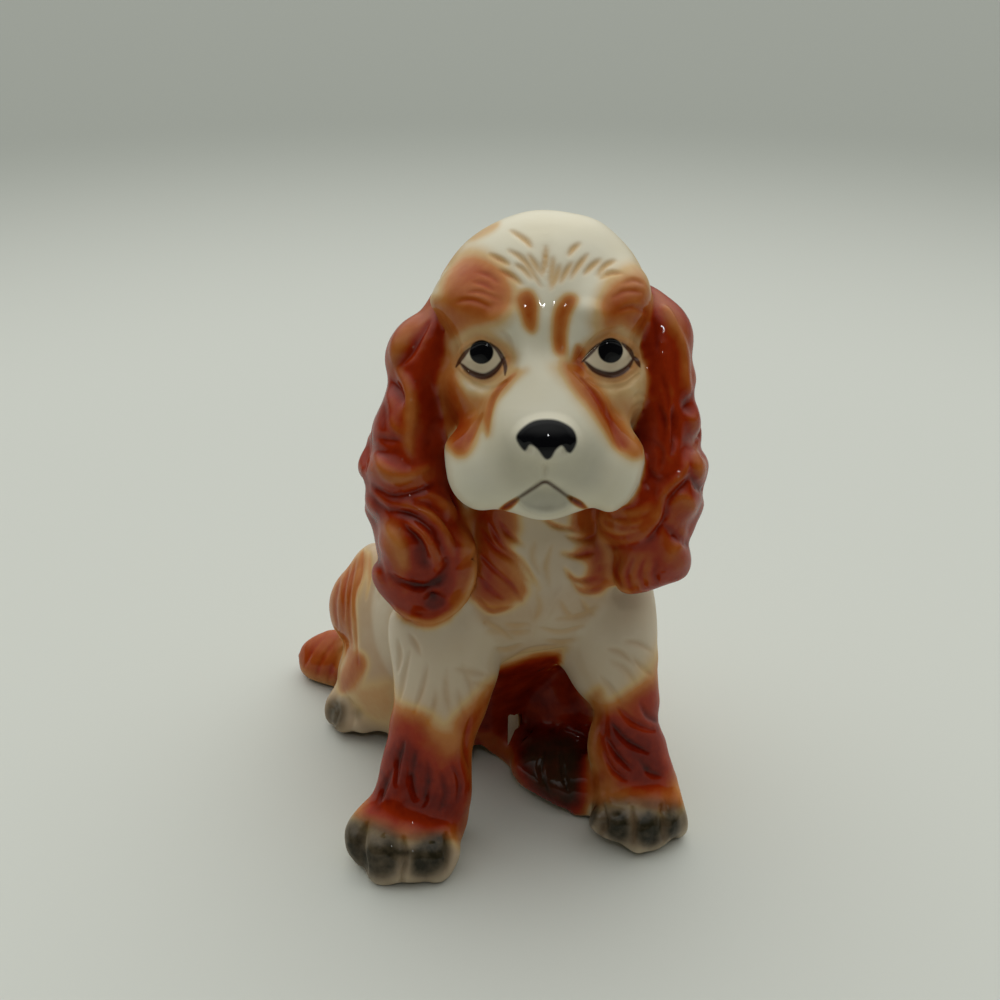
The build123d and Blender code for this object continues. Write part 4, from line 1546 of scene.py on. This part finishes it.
RIGHT_HIND_LEG = SubAssembly(
    casting=Casting.RIGHT_HIND_LEG,
    wash_base=0.60,
    outlines=(
        ((374, 541), (358, 552), (348, 567), (337, 579), (329, 600), (330, 614), (333, 628), (345, 647)),
        ((329, 694), (324, 710), (331, 726), (342, 732), (389, 733)),
    ),
    outline_castings=(Casting.RIGHT_HIND_LEG, Casting.TORSO),
    marks=(
        Mark((((363, 550), (361, 574), (354, 597), (356, 631), (358, 665)), ((350, 566), (344, 590),
            (344, 618)), ((340, 578), (335, 604), (338, 630)), ((356, 560), (350, 588), (349, 616),
            (352, 644)), ((370, 552), (370, 576), (366, 600))), 3.6, 0.35, ((Coat.RUST, 0.16),)),
        Mark((((334, 700), (338, 712), (334, 726)), ((350, 700), (354, 714), (352, 728))), 4.0, 0.6),
    ),
    patches=(
        Patch(Coat.RUST, ((326, 602), (336, 578), (350, 564), (362, 552), (366, 562), (358, 586),
            (352, 606), (353, 640), (350, 656), (334, 634)), 11.0, 0.38),
        Patch(Coat.RUST, ((340, 676), (348, 660), (360, 654), (366, 664), (358, 682),
            (342, 692)), 8.0, 0.40),
        Patch(Coat.RUST, ((350, 690), (376, 682), (394, 684), (394, 722), (366, 716)), 11.0, 0.16),
        Patch(Coat.WASH, ((360, 560), (388, 600), (390, 700), (366, 690), (360, 640)), 12.0, 0.16),
        Patch(Coat.SMOKE, ((324, 708), (332, 698), (344, 702), (346, 716), (338, 728),
            (328, 724)), 8.0, 0.85),
        Patch(Coat.SMOKE, ((352, 712), (358, 708), (362, 714), (358, 720)), 4.0, 0.4),
    ),
    clouds=(Cloud(Coat.RUST, (-44.0, 22.0, 36.0), (16.0, 30.0, 30.0), 0.42),),
    combs=(Comb(110, 20.0, 1.5, 0.55, (-0.2, 0.4, -1.0), 0.4, 41),),
)

LEFT_HIND_LEG = SubAssembly(
    casting=Casting.LEFT_HIND_LEG,
    wash_base=0.40,
    marks=(
        Mark((((545, 748), (540, 770), (548, 792)), ((562, 744), (562, 766), (568, 790))), 4.5, 0.7),
    ),
    patches=(
        # The hind paw in the recess: deep rust and a dark smudge, partly the paw's own paint, partly
        # painted shade of the recess.
        Patch(Coat.RUST, ((520, 735), (550, 726), (586, 730), (590, 790), (576, 812), (540, 798),
            (518, 770)), 6.0, 0.80),
        Patch(Coat.SMOKE, ((526, 744), (550, 736), (576, 740), (580, 772), (574, 802), (550, 798),
            (530, 780)), 7.0, 0.78),
    ),
    clouds=(Cloud(Coat.RUST, (40.0, 4.0, 34.0), (26.0, 30.0, 32.0), 0.45),),
    combs=(Comb(110, 20.0, 1.5, 0.55, (0.2, 0.4, -1.0), 0.4, 42),),
)

TAIL = SubAssembly(
    casting=Casting.TAIL,
    outlines=(((332, 628), (311, 638), (301, 648), (299, 661), (302, 675), (318, 682), (332, 686)),),
    marks=(
        Mark((((326, 634), (312, 650), (304, 668)), ((334, 642), (322, 660), (316, 678)), ((340, 652),
            (332, 668), (328, 682))), 4.4, 0.35, ((Coat.RUST, 0.14),)),
    ),
    patches=(Patch(Coat.RUST, ((298, 664), (312, 674), (334, 680), (334, 690), (312, 686),
                               (298, 676)), 5.0, -0.5),),
    rust_base=0.48,
    combs=(Comb(30, 14.0, 1.4, 0.5, (-0.6, 0.1, -0.6), 0.4, 51),),
)


def mix_colours(tree: bpy.types.NodeTree, share: bpy.types.NodeSocket, first: bpy.types.NodeSocket | Colour,
                second: bpy.types.NodeSocket | Colour) -> bpy.types.NodeSocket:
    """Mixes two colours in a node tree.

    Args:
        tree: the tree.
        share: how much of the second colour there is.
        first: the colour at a share of 0.
        second: the colour at a share of 1.

    Returns:
        The mixed colour.
    """
    node = tree.nodes.new("ShaderNodeMix")
    node.data_type = "RGBA"
    tree.links.new(share, node.inputs["Factor"])
    for socket, colour in ((node.inputs[6], first), (node.inputs[7], second)):
        if isinstance(colour, tuple):
            socket.default_value = (*colour, 1.0)
        else:
            tree.links.new(colour, socket)
    return node.outputs[2]


@dataclass(frozen=True)
class GlazeFinish:
    """Clear gloss glaze over painted earthenware.

    Attributes:
        name: name of the material.
        cream: the clay's colour under the glaze.
        rust_stops: the rust glaze from the thinnest film to the deepest pool, each with its share.
        tan: the wash in the tool marks.
        soot_and_shade: the dark smudge on the toes, and the painted shade on the lower muzzle, the chin and
            the hind paw in the recess.
        black: the paint of the nose and pupils.
        umber: the brush line of the eyelids.
        roughness: roughness of the painted clay.
        gloss: roughness of the glaze.
        ripple: height of the glaze's unevenness, in metres.
        ripple_strength: how strongly the unevenness shows.
        coat_weight: how much of the clear glaze there is.
        coat_ior: refractive index of the glaze.
        warmth: how the clay's colour is dimmed in its warmer places.
        clay_noise, brush_noise, blotch_noise, ripple_noise: scale and detail of each unevenness.
        brush_range, blotch_range: how far the two unevennesses thin and thicken the paint.
    """

    name: str
    cream: Colour = (0.74, 0.70, 0.565)
    rust_stops: tuple[tuple[float, Colour], ...] = (
        (0.10, (0.62, 0.42, 0.20)), (0.24, (0.50, 0.19, 0.048)), (0.42, (0.37, 0.080, 0.012)),
        (0.60, (0.30, 0.024, 0.003)), (0.80, (0.17, 0.009, 0.0015)), (1.0, (0.06, 0.004, 0.0015)))
    tan: Colour = (0.40, 0.20, 0.07)
    soot_and_shade: Colour = (0.022, 0.018, 0.009)
    black: Colour = (0.004, 0.004, 0.005)
    umber: Colour = (0.055, 0.016, 0.009)
    roughness: float = 0.30
    gloss: float = 0.035
    ripple: float = 0.00025
    ripple_strength: float = 0.22
    coat_weight: float = 0.40
    coat_ior: float = 1.5
    warmth: Colour = (0.97, 0.93, 0.86)
    clay_noise: tuple[float, float] = (60.0, 3.0)
    brush_noise: tuple[float, float] = (420.0, 5.0)
    blotch_noise: tuple[float, float] = (110.0, 4.0)
    ripple_noise: tuple[float, float] = (190.0, 2.0)
    brush_range: tuple[float, float] = (0.82, 1.18)
    blotch_range: tuple[float, float] = (0.72, 1.28)

    def material(self) -> bpy.types.Material:
        """Builds the material's nodes.

        Returns:
            The material.
        """
        made = bpy.data.materials.new(self.name)
        made.use_nodes = True
        nodes, links = made.node_tree.nodes, made.node_tree.links
        nodes.clear()
        shader = nodes.new("ShaderNodeBsdfPrincipled")
        output = nodes.new("ShaderNodeOutputMaterial")
        links.new(shader.outputs[0], output.inputs[0])
        place = nodes.new("ShaderNodeTexCoord").outputs["Object"]

        def noise(scale: float, detail: float) -> bpy.types.NodeSocket:
            """Adds a noise on the piece's own coordinates."""
            node = nodes.new("ShaderNodeTexNoise")
            node.inputs["Scale"].default_value = scale
            node.inputs["Detail"].default_value = detail
            links.new(place, node.inputs["Vector"])
            return node.outputs["Fac"]

        def spread(value: bpy.types.NodeSocket, low: float, high: float) -> bpy.types.NodeSocket:
            """Maps a share of 0 to 1 onto a range."""
            node = nodes.new("ShaderNodeMapRange")
            node.inputs["To Min"].default_value = low
            node.inputs["To Max"].default_value = high
            links.new(value, node.inputs["Value"])
            return node.outputs["Result"]

        def times(first: bpy.types.NodeSocket, second: bpy.types.NodeSocket) -> bpy.types.NodeSocket:
            """Multiplies two values."""
            node = nodes.new("ShaderNodeMath")
            node.operation = "MULTIPLY"
            links.new(first, node.inputs[0])
            links.new(second, node.inputs[1])
            return node.outputs[0]

        def coat(which: Coat) -> bpy.types.NodeSocket:
            """Reads a painted coat."""
            node = nodes.new("ShaderNodeAttribute")
            node.attribute_name = which.value
            return node.outputs["Fac"]

        def ramp(value: bpy.types.NodeSocket, stops: tuple[tuple[float, Colour],
                 ...]) -> bpy.types.NodeSocket:
            """Turns a value into a colour."""
            node = nodes.new("ShaderNodeValToRGB")
            elements = node.color_ramp.elements
            while len(elements) < len(stops):
                elements.new(1.0)
            for element, (where, colour) in zip(elements, stops):
                element.position = where
                element.color = (*colour, 1.0)
            links.new(value, node.inputs[0])
            return node.outputs["Color"]

        def over(under: bpy.types.NodeSocket, share: bpy.types.NodeSocket,
                 upper: bpy.types.NodeSocket | Colour) -> bpy.types.NodeSocket:
            """Lays one colour over another."""
            return mix_colours(made.node_tree, share, under, upper)

        uneven = spread(noise(*self.brush_noise), *self.brush_range)
        blotch = spread(noise(*self.blotch_noise), *self.blotch_range)
        warm = tuple(channel * share for channel, share in zip(self.cream, self.warmth))
        clay = ramp(noise(*self.clay_noise), ((0.3, self.cream), (0.8, warm)))
        rust = times(times(coat(Coat.RUST), uneven), blotch)
        film = nodes.new("ShaderNodeMapRange")
        film.inputs["From Max"].default_value = self.rust_stops[0][0]
        links.new(rust, film.inputs["Value"])
        colour = over(clay, times(coat(Coat.WASH), blotch), self.tan)
        colour = over(colour, film.outputs["Result"], ramp(rust, self.rust_stops))
        # Soot on the toes, and painted shade on the lower muzzle, the chin and the hind paw in the recess.
        colour = over(colour, times(coat(Coat.SMOKE), uneven), self.soot_and_shade)
        colour = over(colour, coat(Coat.LID), self.umber)
        colour = over(colour, coat(Coat.INK), self.black)
        links.new(colour, shader.inputs["Base Color"])
        ripple = nodes.new("ShaderNodeBump")
        ripple.inputs["Strength"].default_value = self.ripple_strength
        ripple.inputs["Distance"].default_value = self.ripple
        links.new(noise(*self.ripple_noise), ripple.inputs["Height"])
        links.new(ripple.outputs[0], shader.inputs["Normal"])
        links.new(ripple.outputs[0], shader.inputs["Coat Normal"])
        shader.inputs["Roughness"].default_value = self.roughness
        shader.inputs["Specular IOR Level"].default_value = 0.0
        shader.inputs["Coat Weight"].default_value = self.coat_weight
        shader.inputs["Coat Roughness"].default_value = self.gloss
        shader.inputs["Coat IOR"].default_value = self.coat_ior
        return made


@dataclass
class Knife:
    """Cuts the finished skin back into its castings and hands each to the frame.

    Attributes:
        skin: the painted skin.
        rims: how far the two steps of a luting face reach into the clay.
        tip: where a closing cone ends, from the rim's middle at 0 to the casting's middle at 1.
    """

    skin: Skin
    rims: tuple[float, ...] = (1.2, 3.5)
    tip: float = 0.5

    def piece(self, casting: Casting, finish: bpy.types.Material) -> bpy.types.Object:
        """Cuts one casting out of the skin and closes its luting faces.

        Args:
            casting: which casting.
            finish: its material.

        Returns:
            The piece, riding on the frame.
        """
        skin = self.skin
        votes = skin.labels[skin.triangles]
        owner = np.where(votes[:, 1] == votes[:, 2], votes[:, 1], votes[:, 0])
        chosen = skin.triangles[owner == ORDER.index(casting)]
        used, corners = np.unique(chosen, return_inverse=True)
        mesh = bpy.data.meshes.new(casting.value)
        mesh.from_pydata((skin.points[used] * MM).tolist(), [], corners.reshape(-1, 3).tolist())
        for coat in Coat:
            values = skin.coats[coat][used].astype(np.float32)
            mesh.attributes.new(coat.value, "FLOAT", "POINT").data.foreach_set("value", values)
        work = bmesh.new()
        work.from_mesh(mesh)
        self.close(work, skin.normals[used])
        work.to_mesh(mesh)
        work.free()
        mesh.shade_smooth()
        normals = np.zeros((len(mesh.vertices), 3))
        normals[:len(used)] = skin.normals[used]
        mesh.normals_split_custom_set_from_vertices(normals.tolist())
        mesh.materials.append(finish)
        piece = bpy.data.objects.new(f"{casting.value}_casting", mesh)
        bpy.context.scene.collection.objects.link(piece)
        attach(piece, "root")
        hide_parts(casting.value)
        return piece

    def close(self, work: bmesh.types.BMesh, normals: np.ndarray) -> None:
        """Turns the cut edges inwards and closes each rim with a cone that points into the casting.

        Args:
            work: the casting's open skin.
            normals: the skin's normal at each vertex.
        """
        work.verts.index_update()
        inward = {vertex: Vector(normals[vertex.index]) for vertex in work.verts if vertex.is_boundary}
        for depth in self.rims:
            edges = [edge for edge in work.edges if edge.is_boundary]
            grown = bmesh.ops.extrude_edge_only(work, edges=edges)["geom"]
            deeper = {}
            for vertex in (item for item in grown if isinstance(item, bmesh.types.BMVert)):
                near = (edge.other_vert(vertex) for edge in vertex.link_edges)
                deeper[vertex] = inward[next(other for other in near if other in inward)]
                vertex.co -= deeper[vertex] * depth * MM
            inward = deeper
        bmesh.ops.triangulate(work, faces=[face for face in work.faces if len(face.verts) > 3])
        centre = sum((vertex.co for vertex in work.verts), Vector()) / len(work.verts)
        for rim in self.open_rims(work):
            middle = sum((edge.verts[0].co + edge.verts[1].co for edge in rim), Vector()) / (2 * len(rim))
            apex = work.verts.new(middle.lerp(centre, self.tip))
            for edge in rim:
                side = edge.link_loops[0]
                work.faces.new((side.link_loop_next.vert, side.vert, apex))

    @staticmethod
    def open_rims(work: bmesh.types.BMesh) -> list[list[bmesh.types.BMEdge]]:
        """Returns the open edges, one list for each connected rim.

        Args:
            work: the casting's open skin.

        Returns:
            The rims.
        """
        left = {edge for edge in work.edges if edge.is_boundary}
        rims = []
        while left:
            ahead = [left.pop()]
            rim = []
            while ahead:
                edge = ahead.pop()
                rim.append(edge)
                near = {other for vertex in edge.verts for other in vertex.link_edges} & left
                left -= near
                ahead.extend(near)
            rims.append(rim)
        return rims


@dataclass(frozen=True)
class Studio:
    """The plain pale floor, the soft light from above and the camera.

    Attributes:
        floor_size: edge length of the floor, in metres.
        floor_near, floor_far_shaded: colour of the floor under the figure and far from it; the darker far
            colour is painted shade where the light falls off.
        shade_falloff: distances at which the painted shade on the floor starts and ends to darken it, in
            metres.
        floor_roughness, floor_shine: roughness and specular level of the floor.
        sky_low, sky_high: light from the horizon and from straight above.
        sky_lean: how far the bright part of the sky leans to the back.
        sky_range: heights in the sky at which the light starts and is full.
        window_place, window_aim: where the small window in front hangs and faces, in metres.
        window_size: its width and height, in metres.
        window_power: its power, in watts.
    """

    floor_size: float = 8.0
    floor_near: Colour = (0.60, 0.615, 0.575)
    floor_far_shaded: Colour = (0.315, 0.33, 0.30)
    shade_falloff: tuple[float, float] = (0.28, 0.92)
    floor_roughness: float = 0.75
    floor_shine: float = 0.2
    sky_low: Colour = (0.02, 0.021, 0.02)
    sky_high: Colour = (1.42, 1.44, 1.38)
    sky_lean: float = 0.50
    sky_range: tuple[float, float] = (0.15, 1.0)
    window_place: tuple[float, float, float] = (0.06, -0.62, 0.66)
    window_aim: tuple[float, float, float] = (0.0, -0.03, 0.08)
    window_size: tuple[float, float] = (0.022, 0.07)
    window_power: float = 0.30

    def floor(self) -> None:
        """Lays a pale sheet under the figure, with painted shade that darkens it away from the figure."""
        work = bmesh.new()
        bmesh.ops.create_grid(work, x_segments=2, y_segments=2, size=self.floor_size / 2)
        mesh = bpy.data.meshes.new("floor")
        work.to_mesh(mesh)
        work.free()
        sheet = bpy.data.objects.new("floor", mesh)
        bpy.context.scene.collection.objects.link(sheet)
        paint = bpy.data.materials.new("floor_paper")
        paint.use_nodes = True
        nodes, links = paint.node_tree.nodes, paint.node_tree.links
        shader = nodes["Principled BSDF"]
        away = nodes.new("ShaderNodeVectorMath")
        away.operation = "LENGTH"
        links.new(nodes.new("ShaderNodeTexCoord").outputs["Object"], away.inputs[0])
        share = nodes.new("ShaderNodeMapRange")
        share.interpolation_type = "SMOOTHSTEP"
        share.inputs["From Min"].default_value, share.inputs["From Max"].default_value = self.shade_falloff
        links.new(away.outputs["Value"], share.inputs["Value"])
        # Painted shade: the floor darkens away from the figure, as the light falls off.
        colour = mix_colours(paint.node_tree, share.outputs["Result"], self.floor_near, self.floor_far_shaded)
        links.new(colour, shader.inputs["Base Color"])
        shader.inputs["Roughness"].default_value = self.floor_roughness
        shader.inputs["Specular IOR Level"].default_value = self.floor_shine
        mesh.materials.append(paint)

    def sky(self) -> None:
        """Lights the room from above, brightest overhead and a little to the back."""
        world = bpy.data.worlds.new("room")
        world.use_nodes = True
        nodes, links = world.node_tree.nodes, world.node_tree.links
        split = nodes.new("ShaderNodeSeparateXYZ")
        links.new(nodes.new("ShaderNodeTexCoord").outputs["Generated"], split.inputs[0])
        lean = nodes.new("ShaderNodeMath")
        lean.operation = "MULTIPLY_ADD"
        lean.inputs[1].default_value = self.sky_lean
        links.new(split.outputs["Y"], lean.inputs[0])
        links.new(split.outputs["Z"], lean.inputs[2])
        height = nodes.new("ShaderNodeMapRange")
        height.interpolation_type = "SMOOTHSTEP"
        height.inputs["From Min"].default_value, height.inputs["From Max"].default_value = self.sky_range
        links.new(lean.outputs[0], height.inputs["Value"])
        colour = mix_colours(world.node_tree, height.outputs["Result"], self.sky_low, self.sky_high)
        links.new(colour, nodes["Background"].inputs["Color"])
        bpy.context.scene.world = world

    def window(self) -> None:
        """Hangs the small window in front, whose glints show on the glaze."""
        place, aim = Vector(self.window_place), Vector(self.window_aim)
        lamp = bpy.data.lights.new("front_window", "AREA")
        lamp.shape = "RECTANGLE"
        lamp.size, lamp.size_y = self.window_size
        lamp.energy = self.window_power
        holder = bpy.data.objects.new("front_window", lamp)
        holder.location = place
        holder.rotation_euler = (aim - place).to_track_quat("-Z", "Y").to_euler()
        bpy.context.scene.collection.objects.link(holder)

    def camera(self) -> None:
        """Sets the camera where the photograph was taken."""
        lens = bpy.data.cameras.new("camera")
        lens.angle = math.radians(FRONT.opening)
        lens.clip_start = 0.01
        stand = bpy.data.objects.new("camera", lens)
        stand.location = Vector(FRONT.eye) * MM
        stand.rotation_euler = (math.radians(90.0 - FRONT.pitch), 0.0, math.radians(FRONT.yaw))
        bpy.context.scene.collection.objects.link(stand)
        bpy.context.scene.camera = stand

    def build(self) -> None:
        """Sets up the floor, the light and the camera."""
        self.floor()
        self.sky()
        self.window()
        self.camera()
        bpy.context.scene.view_settings.view_transform = "Standard"


@dataclass
class Pup:
    """The figure: clay, tool marks and paint, then the castings.

    Attributes:
        clay: how the rough clay is made.
        parts: the sub-assemblies, in the order that they are modelled.
        spreads: how far outline moves spread, from the broad to the fine pass, in pixels.
        foot: height of the bare edge that stands on the floor.
        head_wipes: passes of the wet brush over the rough head.
        settle: passes after the outlines are met, and over the ears' locks.
        bleed: passes that let the paint spread.
        fine_rounds, broad_rounds: passes that tell the tool marks and the broad hollows.
        bare_rust, bare_smoke: how far the bare edge is wiped of each coat.
    """

    clay: Clay
    parts: tuple[SubAssembly, ...] = (
        TORSO, RIGHT_HIND_LEG, LEFT_HIND_LEG, TAIL, RIGHT_FORELEG, LEFT_FORELEG, Head(), RIGHT_EAR,
        LEFT_EAR)
    spreads: tuple[float, ...] = (22.0, 11.0, 7.0)
    foot: float = 2.2
    head_wipes: int = 22
    settle: int = 3
    bleed: int = 2
    fine_rounds: int = 6
    broad_rounds: int = 50
    bare_rust: float = 0.75
    bare_smoke: float = 0.6

    def model(self, bench: Bench) -> None:
        """Models the clay.

        Args:
            bench: the modelling bench.
        """
        skin = bench.skin
        skin.relax(self.head_wipes, skin.mask((Casting.HEAD,), SubAssembly.FIT_ROUNDS))
        LOG.info("wiped")
        for spread in self.spreads:
            for part in self.parts:
                part.fit(bench, Tracer(spread))
        skin.relax(self.settle)
        LOG.info("outlines met")
        for part in self.parts:
            part.model(bench)
        skin.relax(self.settle, skin.mask((Casting.RIGHT_EAR, Casting.LEFT_EAR)))
        LOG.info("marks drawn")
        bench.look()
        tree = plant_tree(skin.points)
        for part in self.parts:
            part.comb(bench, tree)
        skin.relax(1)
        skin.points[:, 2] = np.maximum(skin.points[:, 2], 0.0)
        skin.refresh()

    def paint(self, bench: Bench) -> None:
        """Paints the clay and lets the glaze run.

        Args:
            bench: the modelling bench.
        """
        skin = bench.skin
        for part in self.parts:
            part.paint(bench)
        for coat in (Coat.RUST, Coat.WASH, Coat.SMOKE):
            skin.coats[coat] = skin.soften(skin.coats[coat], self.bleed)
        fine, broad = skin.hollows(self.fine_rounds), skin.hollows(self.broad_rounds)
        for part in self.parts:
            part.pool(skin, fine, broad)
        bare = 1.0 - smooth_step(skin.points[:, 2] / self.foot)
        skin.lay(Coat.RUST, -self.bare_rust * bare)
        skin.lay(Coat.SMOKE, -self.bare_smoke * bare)

    def build(self) -> None:
        """Builds and dresses every casting."""
        skin = self.clay.skin()
        LOG.info("skin: %d vertices, %d triangles", len(skin.points), len(skin.triangles))
        bench = Bench(skin)
        self.model(bench)
        LOG.info("modelled")
        self.paint(bench)
        LOG.info("painted")
        knife = Knife(skin)
        for part in self.parts:
            finish = GlazeFinish(f"{part.casting.value}_glaze").material()
            piece = knife.piece(part.casting, finish)
            LOG.info("%s: %d triangles", piece.name, len(piece.data.polygons))


def main() -> None:
    """Builds the figure and its studio."""
    logging.basicConfig(level=logging.INFO, format="%(relativeCreated)7d ms  %(message)s")
    Pup(Clay(grain=1.1, wipes=8)).build()
    Studio().build()


if __name__ == "__main__":
    main()
